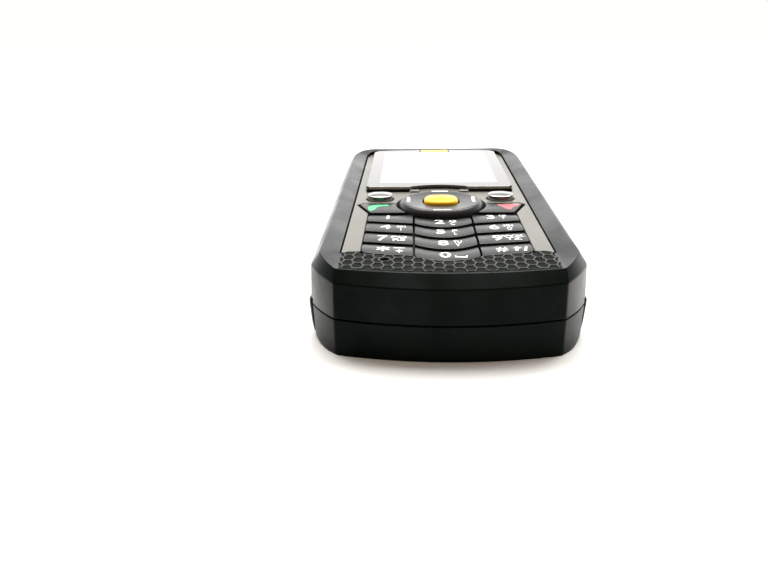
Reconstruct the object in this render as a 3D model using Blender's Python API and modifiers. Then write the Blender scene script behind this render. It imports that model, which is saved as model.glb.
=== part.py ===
"""Rugged keypad mobile phone, lying on its back.

+X is across, +Y is towards the screen end and +Z is up out of the screen.

The origin is the middle of the phone's footprint on the surface it rests on. Sizes below are in millimetres
and are turned into metres by the helpers. Every sub-part is its own object with its own material.
"""

import math

import bmesh
import bpy
from mathutils import Matrix, Vector

MM = 0.001

# ---------------------------------------------------------------- driving dimensions, mm
BODY_TOP_Z = 19.6            # highest line of the side rails, at the screen end
PARTING_LOW_Z = 7.65         # top edge of the rear housing
PARTING_HIGH_Z = 7.95        # bottom edge of the outer frame
PANEL_Z = 17.6               # outer face of the keypad fascia
WINDOW_Z = 18.7              # outer face of the screen window
FLOOR_Z = 1.8                # inside of the rear housing's floor
FRAME_ROOF_Z = 15.6          # underside of the outer frame's top wall
SEAM_X = 22.65               # straight seam between the rails and the fascia
GAP = 0.3                    # clearance between touching pieces
NEAR_STEPS = 16              # facets along the keypad end
CORNER_STEPS = 3             # facets across each corner of the keypad end
CORNER_BULGE = 0.05          # how far such a corner bows out, as a share of its length
FAR_STEPS = 8                # facets along the screen end

# Key field
COLUMN_X = 7.0               # half-width of the middle column
FIELD_X = 18.2               # half-width of the three columns
ROW_MID_Y = (-20.0, -27.9, -35.8, -43.8, -51.4)
SAG_MIDDLE = 3.2             # how far a row line drops across half the middle column
SAG_SIDE = 2.1               # how far it drops across a side column
TOP_ROW_SIDE_Y = (-15.95, -15.85)
TOP_ROW_R = 12.0             # the first row's middle key follows the ring at this radius
ROW_GAP = 0.6
COLUMN_GAP = 0.5
KEY_BOTTOM_Z = 14.1
KEY_TOP_Z = 17.6
KEY_ROWS = (("key_1", "key_2", "key_3"), ("key_4", "key_5", "key_6"),
            ("key_7", "key_8", "key_9"), ("key_star", "key_0", "key_hash"))
KEY_CORNER_CUT = 2.2         # outer corners of the star and hash keys

# Navigation ring and select key
PAD_Y = -8.0
PAD_R = 11.0
PAD_HOLE_R = 11.6
PAD_RIM_R = 10.2
PAD_RIM_Z = 18.95
PAD_DISH_R = 6.0
PAD_DISH_Z = 18.55
PAD_WALL_Z = 18.2
PAD_BOTTOM_Z = 15.5
PAD_BASE_R = 10.9
PAD_BASE_Z = (14.0, 14.9)
PAD_PIVOT_Z = 14.45
SELECT_HALF = (4.4, 4.0)
SELECT_Z = (14.3, 19.7)
SELECT_ROUND = 3.4
SELECT_CLEARANCE = 0.4

# Soft keys and call keys
SOFT_CENTRE = (15.9, -1.95)
SOFT_HALF = (3.4, 3.1)
SOFT_Z = (14.1, 19.2)
SOFT_CLEARANCE = 0.35
CALL_TIP = (21.2, -7.9)
CALL_SHOULDER = (19.9, -6.6)
CALL_OUTER = (18.1, -15.65)
CALL_INNER_X = 9.1
CALL_FAR_Y = -6.6
CALL_RING_R = 11.5
CALL_TOP_Z = 17.8
PANEL_BRIDGE_Y = -6.2       # near edge of the strip of panel beyond the call keys

# Screen
WINDOW_X = 20.2
WINDOW_NEAR_Y = 7.0
WINDOW_SIDE_END_Y = 55.8
WINDOW_CORNER = 1.4
WINDOW_NOTCH = (8.2, 2.0)    # half-width and depth of the bow in its near edge, beyond the ring
COLLAR_X = (5.4, 8.1)        # raised ends of the panel beside that bow
COLLAR_Y = (4.6, 6.7)
COLLAR_Z = (17.0, 18.35)
SLOT_X = (8.3, 20.0)          # grooves in the panel along the window's near edge
SLOT_Y = (5.1, 7.4)
SLOT_FLOOR_Z = 17.0
WINDOW_BOTTOM_Z = 17.9
LCD_LOW = (-17.5, 10.6, 14.3)
LCD_HIGH = (17.5, 55.0, 17.3)
BADGE_LOW = (-4.6, 55.6, 18.0)
BADGE_HIGH = (4.6, 58.6, 18.8)

# Inside
SCREW_XY = ((-21.5, -50.0), (21.5, -50.0), (-21.5, 49.0), (21.5, 49.0))
BOSS_R = 2.2
BATTERY_LOW = (-19.2, -36.5, 2.2)
BATTERY_HIGH = (19.2, 17.9, 6.35)
BAY_LOW = (-19.6, -37.5, -1.0)
BAY_HIGH = (19.6, 19.3, 6.7)
BAY_BLOCK_LOW = (-23.8, -46.5, 1.0)
BAY_BLOCK_HIGH = (23.8, 24.8, PARTING_LOW_Z)
COVER_HALF_X = 22.2
COVER_Y = (-45.0, 23.0)
COVER_Z = (0.25, 1.85)
LOCK_XY = ((-13.0, -41.5), (13.0, -41.5))
PCB_Z = (9.9, 10.9)
CAMERA_XY = (0.0, 46.0)
TORCH_XY = (9.5, 46.0)
SIDE_KEY_Z = (10.4, 13.6)
SIDE_KEY_X = (26.0, 28.75)
ROCKER_Y = (18.0, 38.0)
TORCH_KEY_Y = (-3.0, 7.0)
USB_X = (-10.8, -3.2)
JACK_X = (5.8, 12.2)
USB_FLAP = (-12.6, -1.4, 9.6, 15.4)
JACK_FLAP = (4.2, 13.8, 8.5, 14.7)
FLAP_Y = (61.0, 61.9)

# Side keys and port covers: how far inside the wall the hinge lines lie
ROCKER_PIVOT_X = 26.0
FLAP_HINGE_RISE = 0.45
MOUTH_Y = (59.0, 63.0)
USB_MOUTH_Z = (11.0, 14.0)
JACK_AXIS_Z = 11.45
JACK_MOUTH_R = 2.3
JACK_BORE_R = 1.75

# Holes
FRAME_SCREW_R = 1.1
REAR_SCREW_R = 1.2
COUNTERBORE_R = 1.95
COUNTERBORE_Z = 2.4
LOCK_HOLE_R = 1.35
MIC_XY = (-13.0, -50.9)
MIC_HOLE_R = 0.95
CAMERA_HOLE_R = 4.4
TORCH_HOLE_R = 2.3
SPEAKER_SLOT_PITCH = 3.6
SPEAKER_SLOT_X = -17.0
COVER_CORNER_R = 2.4
COVER_HOLE_R = 1.3
COVER_COUNTERBORE = (2.8, 1.4)   # radius, depth

# Screws: head radius, head z, shaft radius, shaft top z, slot width
HOUSING_SCREW = (1.65, (0.6, 2.0), 0.8, 11.5, 0.5)
LOCK_SCREW = (2.4, (0.4, 1.1), 0.95, 5.0, 0.8)
SLOT_DEPTH = 0.45

# Inner parts, as low and high corners
RF_CAN = ((-20.0, -16.0, 8.0), (-1.5, 14.0, 9.6))
BASEBAND_CAN = ((1.5, -16.0, 8.0), (20.0, 14.0, 9.6))
SIM_HOLDER = ((-17.6, -34.0, 8.0), (-3.0, -20.0, 9.6))
CARD_HOLDER = ((3.0, -34.0, 8.0), (14.6, -20.0, 9.6))
CONTACT_BLOCK = ((-5.6, 18.8, 3.4), (5.6, 20.9, 9.6))
EARPIECE = ((-5.5, 56.2, 14.2), (5.5, 59.2, 15.4))
DOME_SHEET = ((-18.2, -50.5, 11.2), (18.2, 4.0, 11.4))
MEMBRANE = ((-18.6, -51.0, 11.7), (18.6, 4.4, 13.4))
ANTENNA = ((-16.0, -57.4, 2.2), (16.0, -47.4, 6.6))
ANTENNA_HOLLOW = ((-14.8, -56.2, 3.4), (14.8, -48.6, 8.0))
USB_SOCKET = ((USB_X[0], 54.6, 11.2), (USB_X[1], 59.9, 13.8))
USB_THROAT = ((USB_X[0] + 0.4, 56.0, 11.6), (USB_X[1] - 0.4, 61.0, 13.4))
JACK_BODY = ((JACK_X[0], 47.4, 9.0), (JACK_X[1], 59.9, 13.9))
MICROPHONE = ((-13.0, -53.4), 2.0, 11.2, 13.2)      # centre, radius, z from, z to
MOTOR = ((15.0, 35.0), 5.0, 2.2, 5.4)
SPEAKER = ((-11.6, 37.5), (7.6, 6.0), 1.5)          # centre, half size, corner radius
SPEAKER_Z = (2.2, 6.6)
CAMERA_HALF = 3.9
CAMERA_Z = (2.2, 7.2)
TORCH_HALF = 1.6
TORCH_Z = (2.2, 3.4)
CAMERA_WINDOW = (4.05, 0.5, 1.5)                    # radius, z from, z to
TORCH_LENS = (1.95, 0.5, 1.6)
CAN_WALL = 0.2
CARD_WALL = 0.8
CARD_BACK = 0.6

# Body outlines: near middle (y, z); near corner, shoulder, far shoulder, far corner (x, y, z);
# far middle (y, z)
FRAME_PARTING = ((-62.0, 7.95), (22.97, -58.4, 7.95), (28.8, -49.0, 7.95),
                 (28.8, 52.0, 7.95), (24.6, 60.4, 7.95), (62.0, 7.95))
FRAME_SHOULDER = ((-62.0, 15.46), (22.85, -58.3, 15.46), (28.5, -48.95, 16.05),
                  (28.5, 52.0, 16.3), (24.4, 60.4, 16.8), (62.0, 17.3))
FRAME_RIDGE = ((-58.7, 17.76), (22.7, -55.95, 17.76), (26.45, -50.0, 19.2),
               (26.4, 51.0, BODY_TOP_Z), (22.9, 59.4, BODY_TOP_Z), (61.3, 18.9))
FRAME_OPENING = ((0.0, 17.6), (SEAM_X, -46.5, 17.6), (SEAM_X, -45.4, 17.6),
                 (SEAM_X, 53.6, 18.0), (21.4, 57.9, 18.5), (59.75, 18.6))
FRAME_INNER_TOP = ((-60.2, FRAME_ROOF_Z), (22.0, -57.0, FRAME_ROOF_Z), (26.8, -48.6, FRAME_ROOF_Z),
                   (26.9, 52.2, FRAME_ROOF_Z), (23.4, 59.0, FRAME_ROOF_Z), (60.5, FRAME_ROOF_Z))
REAR_INNER_LOW = ((-59.9, FLOOR_Z), (21.7, -56.4, FLOOR_Z), (25.0, -49.4, FLOOR_Z),
                  (25.0, 50.8, FLOOR_Z), (21.8, 57.9, FLOOR_Z), (59.6, FLOOR_Z))
REAR_INNER_TOP = ((-60.2, 7.65), (22.0, -57.0, 7.65), (27.0, -48.6, 7.65),
                  (27.0, 51.6, 7.65), (23.2, 59.0, 7.65), (60.2, 7.65))
REAR_PARTING = ((-62.0, 7.65), (22.97, -58.4, 7.65), (28.8, -49.0, 7.65),
                (28.8, 52.0, 7.65), (24.6, 60.4, 7.65), (62.0, 7.65))
REAR_SIDE = ((-62.0, 3.6), (22.95, -58.4, 3.6), (28.6, -49.0, 3.6),
             (28.5, 51.9, 3.6), (24.4, 60.3, 3.6), (61.9, 3.6))
REAR_TURN = ((-61.95, 0.7), (22.9, -58.4, 0.7), (28.1, -49.7, 0.7),
             (27.6, 51.6, 0.7), (23.6, 59.8, 0.7), (61.6, 0.7))
REAR_BOTTOM = ((-61.7, 0.0), (22.7, -58.4, 0.0), (27.45, -50.2, 0.0),
               (26.8, 51.2, 0.0), (23.0, 59.3, 0.0), (61.1, 0.0))

# Grip strips in the sides: sections as x, z on the right
GRIP_SECTION = ((28.85, 8.7), (29.25, 8.1), (29.25, 7.2), (28.9, 3.0), (28.5, 0.7), (27.8, 0.5), (28.25, 8.7))
GRIP_Y = (-48.8, 46.0)
GRIP_RECESS_SECTION = ((27.95, 9.0), (31.0, 9.0), (31.0, 0.2), (27.5, 0.2))
GRIP_RECESS_Y = (-50.5, 46.3)

PARTS_NAME = "keypad_phone"
CUTTERS_NAME = "cutters"


# ---------------------------------------------------------------- scene and materials
def clear_scene():
    """Removes what an open file or the start-up scene holds."""
    for obj in list(bpy.data.objects):
        bpy.data.objects.remove(obj, do_unlink=True)


def new_collection(name):
    collection = bpy.data.collections.new(name)
    bpy.context.scene.collection.children.link(collection)
    return collection


clear_scene()
PARTS = new_collection(PARTS_NAME)
CUTTERS = new_collection(CUTTERS_NAME)

# name: base colour, roughness, metallic
FINISHES = {
    "rubber": ((0.035, 0.037, 0.036), 0.62, 0.0),
    "housing": ((0.014, 0.016, 0.015), 0.45, 0.0),
    "grip": ((0.020, 0.021, 0.020), 0.75, 0.0),
    "panel": ((0.120, 0.118, 0.110), 0.30, 0.0),
    "key": ((0.040, 0.041, 0.042), 0.28, 0.0),
    "amber": ((1.000, 0.520, 0.020), 0.30, 0.0),
    "glass": ((0.060, 0.062, 0.066), 0.06, 0.0),
    "display": ((0.350, 0.360, 0.370), 0.25, 0.0),
    "silicone": ((0.080, 0.080, 0.085), 0.70, 0.0),
    "board": ((0.010, 0.120, 0.050), 0.45, 0.0),
    "tin": ((0.600, 0.600, 0.590), 0.35, 1.0),
    "steel": ((0.450, 0.450, 0.460), 0.30, 1.0),
    "brass": ((0.750, 0.560, 0.250), 0.30, 1.0),
    "film": ((0.700, 0.680, 0.600), 0.40, 0.0),
    "cell": ((0.060, 0.065, 0.080), 0.40, 0.0),
    "clear": ((0.700, 0.720, 0.740), 0.08, 0.0),
    "badge": ((0.950, 0.720, 0.060), 0.35, 0.0),
}


def make_material(part_name, finish):
    """A Principled material named for the part it belongs to."""
    colour, roughness, metallic = FINISHES[finish]
    material = bpy.data.materials.new(part_name + "_" + finish)
    material.use_nodes = True
    shader = material.node_tree.nodes["Principled BSDF"]
    shader.inputs["Base Color"].default_value = (*colour, 1.0)
    shader.inputs["Roughness"].default_value = roughness
    shader.inputs["Metallic"].default_value = metallic
    material.diffuse_color = (*colour, 1.0)
    return material


# ---------------------------------------------------------------- shape helpers
def place(name, mesh, origin, finish=None):
    """Puts a mesh in the parts collection, or among the cutters when it has no finish."""
    obj = bpy.data.objects.new(name, mesh)
    obj.location = Vector(origin) * MM
    if finish is None:
        CUTTERS.objects.link(obj)
        obj.hide_render = True
        obj.display_type = "WIRE"
    else:
        PARTS.objects.link(obj)
        obj.data.materials.append(make_material(name, finish))
    return obj


def mesh_from(bm, name):
    bmesh.ops.recalc_face_normals(bm, faces=bm.faces)
    mesh = bpy.data.meshes.new(name)
    bm.to_mesh(mesh)
    bm.free()
    return mesh


def add_bevel(obj, width, segments=2, limit_degrees=30.0):
    bevel = obj.modifiers.new("edge_round", "BEVEL")
    bevel.width = width * MM
    bevel.segments = segments
    bevel.limit_method = "ANGLE"
    bevel.angle_limit = math.radians(limit_degrees)
    bevel.use_clamp_overlap = True
    return obj


def block(name, low, high, finish=None, bevel=0.0):
    """A box from its low corner to its high corner, with its origin at its centre."""
    centre = [(a + b) / 2.0 for a, b in zip(low, high)]
    size = [b - a for a, b in zip(low, high)]
    bm = bmesh.new()
    bmesh.ops.create_cube(bm, size=1.0)
    bmesh.ops.scale(bm, vec=Vector(size) * MM, verts=bm.verts)
    obj = place(name, mesh_from(bm, name), centre, finish)
    if bevel > 0.0:
        add_bevel(obj, bevel)
    return obj


def cylinder(name, centre_xy, radius, z_low, z_high, finish=None, sides=24):
    bm = bmesh.new()
    bmesh.ops.create_cone(bm, cap_ends=True, segments=sides, radius1=radius * MM, radius2=radius * MM,
                          depth=(z_high - z_low) * MM)
    origin = (centre_xy[0], centre_xy[1], (z_low + z_high) / 2.0)
    return place(name, mesh_from(bm, name), origin, finish)


def prism(name, loops, z_low, z_high, finish=None, origin_xy=(0.0, 0.0)):
    """A flat outline, with any holes in it, raised from z_low to z_high."""
    curve = bpy.data.curves.new(name + "_outline", "CURVE")
    curve.dimensions = "2D"
    curve.fill_mode = "BOTH"
    curve.extrude = (z_high - z_low) / 2.0 * MM
    for loop in loops:
        spline = curve.splines.new("POLY")
        spline.points.add(len(loop) - 1)
        spline.use_cyclic_u = True
        for point, (x, y) in zip(spline.points, loop):
            point.co = ((x - origin_xy[0]) * MM, (y - origin_xy[1]) * MM, 0.0, 1.0)
    outline = bpy.data.objects.new(name + "_outline", curve)
    CUTTERS.objects.link(outline)
    bpy.context.view_layer.update()
    evaluated = outline.evaluated_get(bpy.context.evaluated_depsgraph_get())
    solid = bpy.data.meshes.new_from_object(evaluated)
    bpy.data.objects.remove(outline, do_unlink=True)
    bm = bmesh.new()
    bm.from_mesh(solid)
    bpy.data.meshes.remove(solid)
    bmesh.ops.remove_doubles(bm, verts=bm.verts, dist=1e-6)
    bmesh.ops.dissolve_limit(bm, angle_limit=math.radians(0.2), verts=bm.verts, edges=bm.edges)
    origin = (origin_xy[0], origin_xy[1], (z_low + z_high) / 2.0)
    return place(name, mesh_from(bm, name), origin, finish)


def section_prism(name, loop, y_low, y_high, finish=None):
    """An X-Z section carried along Y: a flat outline turned to stand on edge."""
    obj = prism(name, [loop], -(y_high - y_low) / 2.0, (y_high - y_low) / 2.0, finish)
    obj.data.transform(turn_to_section())
    obj.location = Vector((0.0, (y_low + y_high) / 2.0, 0.0)) * MM
    return obj


def turn_to_section():
    """Takes an outline's x, y to x, z, and its thickness to -y."""
    return Matrix.Rotation(math.radians(90.0), 4, "X")


def loft(name, rings, finish, closed):
    """Joins rings of points into one skin: a closed loft meets its own first ring, an open one is capped."""
    bm = bmesh.new()
    rows = [[bm.verts.new(Vector(p) * MM) for p in ring] for ring in rings]
    count = len(rows[0])
    spans = len(rows) if closed else len(rows) - 1
    for i in range(spans):
        low, high = rows[i], rows[(i + 1) % len(rows)]
        for j in range(count):
            k = (j + 1) % count
            bm.faces.new((low[j], low[k], high[k], high[j]))
    if not closed:
        bm.faces.new(rows[0])
        bm.faces.new(rows[-1])
    return place(name, mesh_from(bm, name), (0.0, 0.0, 0.0), finish)


def combine(target, tool, operation):
    """Cuts or joins with the exact solver."""
    boolean = target.modifiers.new(operation.lower() + "_" + tool.name, "BOOLEAN")
    boolean.operation = operation
    boolean.solver = "EXACT"
    boolean.object = tool
    return target


def cut(target, *tools):
    for tool in tools:
        combine(target, tool, "DIFFERENCE")
    return target


def join(target, *tools):
    for tool in tools:
        combine(target, tool, "UNION")
    return target


# ---------------------------------------------------------------- outlines
def row_line(row, x):
    """The y of the line between two key rows: a shallow smile, straight across the side columns."""
    side = max(abs(x) - COLUMN_X, 0.0) / (FIELD_X - COLUMN_X)
    if row == 0:
        if side == 0.0:
            return PAD_Y - math.sqrt((TOP_ROW_R + ROW_GAP / 2.0) ** 2 - x * x) + ROW_GAP / 2.0
        return TOP_ROW_SIDE_Y[0] + (TOP_ROW_SIDE_Y[1] - TOP_ROW_SIDE_Y[0]) * side
    middle = min(abs(x) / COLUMN_X, 1.0)
    return ROW_MID_Y[row] + SAG_MIDDLE * middle * middle + SAG_SIDE * side


def bowed_corner(corner, shoulder):
    """Points between a near corner and its shoulder, bowed outwards in plan."""
    points = []
    for i in range(1, CORNER_STEPS):
        t = i / CORNER_STEPS
        bow = 4.0 * CORNER_BULGE * t * (1.0 - t)
        x = corner[0] + (shoulder[0] - corner[0]) * t + (shoulder[1] - corner[1]) * bow
        y = corner[1] + (shoulder[1] - corner[1]) * t - (shoulder[0] - corner[0]) * bow
        points.append((x, y, corner[2] + (shoulder[2] - corner[2]) * t))
    return points


def body_ring(outline, near_y=None):
    """One closed ring of body points from its named stations. near_y, if given, sets the near edge's y."""
    near_mid, corner, shoulder, far_shoulder, far_corner, far_mid = outline
    ring = []
    for i in range(NEAR_STEPS + 1):
        t = 2.0 * i / NEAR_STEPS - 1.0
        x = corner[0] * t
        y = near_mid[0] + (corner[1] - near_mid[0]) * t * t
        z = near_mid[1] + (corner[2] - near_mid[1]) * t * t
        if near_y is not None:
            y = near_y(x)
        ring.append((x, y, z))
    bow = bowed_corner(corner, shoulder)
    ring += bow
    ring.append(shoulder)
    ring.append(far_shoulder)
    for i in range(FAR_STEPS + 1):
        t = 1.0 - 2.0 * i / FAR_STEPS
        y = far_mid[0] + (far_corner[1] - far_mid[0]) * t * t
        z = far_mid[1] + (far_corner[2] - far_mid[1]) * t * t
        ring.append((far_corner[0] * t, y, z))
    ring.append((-far_shoulder[0], far_shoulder[1], far_shoulder[2]))
    ring.append((-shoulder[0], shoulder[1], shoulder[2]))
    ring += [(-x, y, z) for x, y, z in reversed(bow)]
    return ring


def at_height(ring, z):
    return [(x, y, z) for x, y, _ in ring]


def opening_near_y(x):
    """Near edge of the frame's opening: it follows the bottom row of keys, then steps back beside it."""
    if abs(x) > SEAM_X - 0.01:
        return -46.5
    if abs(x) > FIELD_X + 0.2:
        return -45.5
    return row_line(4, x) - 0.45


def opening_far_points(half_x, clearance, steps=8):
    """Points along the far edge of the frame's opening, kept clear of it, from +X to -X."""
    far_corner, far_mid = FRAME_OPENING[4], FRAME_OPENING[5]
    points = []
    for i in range(steps + 1):
        x = half_x * (1.0 - 2.0 * i / steps)
        t = x / far_corner[0]
        points.append((x, far_mid[0] + (far_corner[1] - far_mid[0]) * t * t - clearance))
    return points


def rounded_rectangle(centre, half, radius, steps=5):
    points = []
    corners = ((1, 1, 0), (-1, 1, 90), (-1, -1, 180), (1, -1, 270))
    for sx, sy, start in corners:
        cx = centre[0] + sx * (half[0] - radius)
        cy = centre[1] + sy * (half[1] - radius)
        for i in range(steps + 1):
            angle = math.radians(start + 90.0 * i / steps)
            points.append((cx + radius * math.cos(angle), cy + radius * math.sin(angle)))
    return points


def oval(centre, half, steps=20):
    return [(centre[0] + half[0] * math.cos(2.0 * math.pi * i / steps),
             centre[1] + half[1] * math.sin(2.0 * math.pi * i / steps)) for i in range(steps)]


def arc(centre, radius, start, end, steps):
    points = []
    for i in range(steps + 1):
        angle = math.radians(start + (end - start) * i / steps)
        points.append((centre[0] + radius * math.cos(angle), centre[1] + radius * math.sin(angle)))
    return points


# ---------------------------------------------------------------- housing
def make_outer_frame():
    """The rubber-skinned frame: rails, honeycomb strip and end walls above the parting line."""
    opening = body_ring(FRAME_OPENING, opening_near_y)
    inner = body_ring(FRAME_INNER_TOP)
    rings = [body_ring(FRAME_PARTING), body_ring(FRAME_SHOULDER), body_ring(FRAME_RIDGE), opening,
             at_height(opening, FRAME_ROOF_Z), inner, at_height(inner, PARTING_HIGH_Z)]
    frame = loft("outer_frame", rings, "rubber", closed=True)
    for i, (x, y) in enumerate(SCREW_XY):
        side = math.copysign(1.0, x)
        boss_top = FRAME_ROOF_Z + 0.1 if y < 0 else FRAME_ROOF_Z - 0.1
        boss = cylinder(f"frame_boss_{i}", (x, y), BOSS_R, PARTING_HIGH_Z, boss_top, sides=20)
        web_ends = sorted((x, side * 27.3))
        web = block(f"frame_web_{i}", (web_ends[0], y - 1.0, 9.0), (web_ends[1], y + 1.0, boss_top - 0.4))
        join(frame, boss, web)
    for i, xy in enumerate(SCREW_XY):
        cut(frame, cylinder(f"frame_screw_hole_{i}", xy, FRAME_SCREW_R, 6.0, 11.9, sides=16))
    cut(frame, cylinder("mic_hole", MIC_XY, MIC_HOLE_R, 14.0, 19.0, sides=12))
    cut(frame, block("rocker_slot", (25.0, ROCKER_Y[0] - GAP, SIDE_KEY_Z[0] - GAP),
                     (31.0, ROCKER_Y[1] + GAP, SIDE_KEY_Z[1] + GAP)))
    cut(frame, block("torch_key_slot", (25.0, TORCH_KEY_Y[0] - GAP, SIDE_KEY_Z[0] - GAP),
                     (31.0, TORCH_KEY_Y[1] + GAP, SIDE_KEY_Z[1] + GAP)))
    for name, flap in (("usb_recess", USB_FLAP), ("jack_recess", JACK_FLAP)):
        cut(frame, block(name, (flap[0] - GAP, FLAP_Y[0] - GAP, flap[2] - GAP),
                         (flap[1] + GAP, 64.0, flap[3] + GAP)))
    cut(frame, block("usb_mouth", (USB_X[0] - 0.2, MOUTH_Y[0], USB_MOUTH_Z[0]),
                     (USB_X[1] + 0.2, MOUTH_Y[1], USB_MOUTH_Z[1])))
    cut(frame, jack_cutter("jack_mouth", JACK_MOUTH_R, MOUTH_Y))
    return frame


def jack_cutter(name, radius, y_span):
    """A round cutter along the axis of the audio jack."""
    half = (y_span[1] - y_span[0]) / 2.0
    bore = cylinder(name, (0.0, 0.0), radius, -half, half, sides=20)
    bore.rotation_euler = (math.radians(90.0), 0.0, 0.0)
    bore.location = Vector((sum(JACK_X) / 2.0, sum(y_span) / 2.0, JACK_AXIS_Z)) * MM
    return bore


def make_rear_housing():
    """The tray below the parting line, with the battery bay cut from below."""
    rings = [body_ring(REAR_INNER_LOW), body_ring(REAR_INNER_TOP), body_ring(REAR_PARTING),
             body_ring(REAR_SIDE), body_ring(REAR_TURN), body_ring(REAR_BOTTOM)]
    rear = loft("rear_housing", rings, "housing", closed=False)
    join(rear, block("bay_block", BAY_BLOCK_LOW, BAY_BLOCK_HIGH))
    for i, xy in enumerate(SCREW_XY):
        join(rear, cylinder(f"rear_column_{i}", xy, BOSS_R, 1.0, PARTING_LOW_Z, sides=20))
    for i, xy in enumerate(SCREW_XY):
        cut(rear, cylinder(f"rear_screw_hole_{i}", xy, REAR_SCREW_R, 0.5, 9.0, sides=16))
        cut(rear, cylinder(f"rear_counterbore_{i}", xy, COUNTERBORE_R, -1.0, COUNTERBORE_Z, sides=20))
    cut(rear, block("battery_bay", BAY_LOW, BAY_HIGH))
    cut(rear, block("cover_recess", (-COVER_HALF_X - GAP, COVER_Y[0] - GAP, -1.0),
                    (COVER_HALF_X + GAP, COVER_Y[1] + GAP, COVER_Z[1] + GAP)))
    for i, xy in enumerate(LOCK_XY):
        cut(rear, cylinder(f"lock_hole_{i}", xy, LOCK_HOLE_R, 1.5, 5.4, sides=16))
    cut(rear, block("sim_window", (-17.0, -33.5, 6.0), (-3.5, -20.5, 9.0)))
    cut(rear, block("card_window", (3.5, -33.5, 6.0), (14.0, -20.5, 9.0)))
    cut(rear, block("connector_notch", (-6.0, 18.5, 3.0), (6.0, 21.3, 9.0)))
    for i in range(4):
        x = SPEAKER_SLOT_X + SPEAKER_SLOT_PITCH * i
        cut(rear, block(f"speaker_slot_{i}", (x - 0.6, 33.0, -1.0), (x + 0.6, 42.0, 3.0)))
    cut(rear, cylinder("camera_hole", CAMERA_XY, CAMERA_HOLE_R, -1.0, 3.0, sides=28))
    cut(rear, cylinder("torch_hole", TORCH_XY, TORCH_HOLE_R, -1.0, 3.0, sides=20))
    return rear


def make_grip(name, side):
    """A rubber grip strip let into the side, leaning in towards its lower edge."""
    loop = [(side * x, z) for x, z in GRIP_SECTION]
    return section_prism(name, loop, GRIP_Y[0], GRIP_Y[1], "grip")


def grip_recess(name, side):
    loop = [(side * x, z) for x, z in GRIP_RECESS_SECTION]
    return section_prism(name, loop, GRIP_RECESS_Y[0], GRIP_RECESS_Y[1])


def make_gasket():
    """The seal between the two housing halves."""
    def inset(amount):
        station = ((-62.0 + amount, 0.0), (22.97 - 0.45 * amount, -58.4 + 0.9 * amount, 0.0),
                   (28.8 - amount, -49.0 + 0.3 * amount, 0.0), (28.8 - amount, 52.0 - 0.3 * amount, 0.0),
                   (24.6 - 0.6 * amount, 60.4 - 0.8 * amount, 0.0), (62.0 - amount, 0.0))
        return [(x, y) for x, y, _ in body_ring(station)]
    return prism("housing_gasket", [inset(2.4), inset(3.1)], 6.95, 8.65, "silicone")


def make_cover():
    """The battery cover, with counterbored holes for its two lock screws and a finger notch."""
    outline = rounded_rectangle((0.0, sum(COVER_Y) / 2.0),
                                (COVER_HALF_X, (COVER_Y[1] - COVER_Y[0]) / 2.0), COVER_CORNER_R, 4)
    cover = prism("battery_cover", [outline], COVER_Z[0], COVER_Z[1], "housing", (0.0, sum(COVER_Y) / 2.0))
    for i, xy in enumerate(LOCK_XY):
        cut(cover, cylinder(f"cover_hole_{i}", xy, COVER_HOLE_R, -1.0, 4.0, sides=16))
        cut(cover, cylinder(f"cover_counterbore_{i}", xy, COVER_COUNTERBORE[0], -1.0, COVER_COUNTERBORE[1],
                            sides=24))
    cut(cover, block("finger_notch", (-6.0, COVER_Y[1] - 1.2, -1.0), (6.0, COVER_Y[1] + 1.0, 1.0)))
    return cover


def turned(name, profile, origin, finish, steps=32):
    """A turned solid: a profile of radius and height, from the top of the axis to its bottom, spun once."""
    mesh = bpy.data.meshes.new(name)
    bm = bmesh.new()
    verts = [bm.verts.new((r * MM, 0.0, z * MM)) for r, z in profile]
    for a, b in zip(verts, verts[1:]):
        bm.edges.new((a, b))
    bm.to_mesh(mesh)
    bm.free()
    obj = place(name, mesh, origin, finish)
    screw = obj.modifiers.new("turn", "SCREW")
    screw.steps = steps
    screw.render_steps = steps
    screw.use_merge_vertices = True
    screw.merge_threshold = 1e-6
    screw.use_normal_calculate = True
    return obj


def make_screw(name, xy, sizes, finish):
    """A screw seen from below: a head with a slot and a plain shaft above it."""
    head_r, head_z, shaft_r, shaft_top, slot = sizes
    origin = (xy[0], xy[1], head_z[0])
    top = shaft_top - head_z[0]
    head = head_z[1] - head_z[0]
    profile = [(0.0, top), (shaft_r, top), (shaft_r, head), (head_r, head), (head_r, 0.0), (0.0, 0.0)]
    screw = turned(name, profile, origin, finish, 16)
    cut(screw, block(name + "_slot", (xy[0] - 2.0 * head_r, xy[1] - slot / 2.0, -1.0),
                     (xy[0] + 2.0 * head_r, xy[1] + slot / 2.0, head_z[0] + SLOT_DEPTH)))
    return screw


# ---------------------------------------------------------------- front
def fascia_outline():
    """Right half of the fascia, from its near leg round the keys and the ring; then mirrored."""
    ring_start = math.degrees(math.asin((PANEL_BRIDGE_Y - PAD_Y) / PAD_HOLE_R))
    half = [(22.35, 52.9), (22.35, -46.1), (20.8, -45.1), (FIELD_X + 0.35, -45.1), (FIELD_X + 0.35, -16.0),
            (21.6, -8.2), (21.6, -7.6), (20.2, PANEL_BRIDGE_Y)]
    half += arc((0.0, PAD_Y), PAD_HOLE_R, ring_start, 90.0, 12)
    inner = half + [(-x, y) for x, y in reversed(half) if abs(x) > 1e-6]
    return inner + list(reversed(opening_far_points(20.9, 0.35)))


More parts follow.
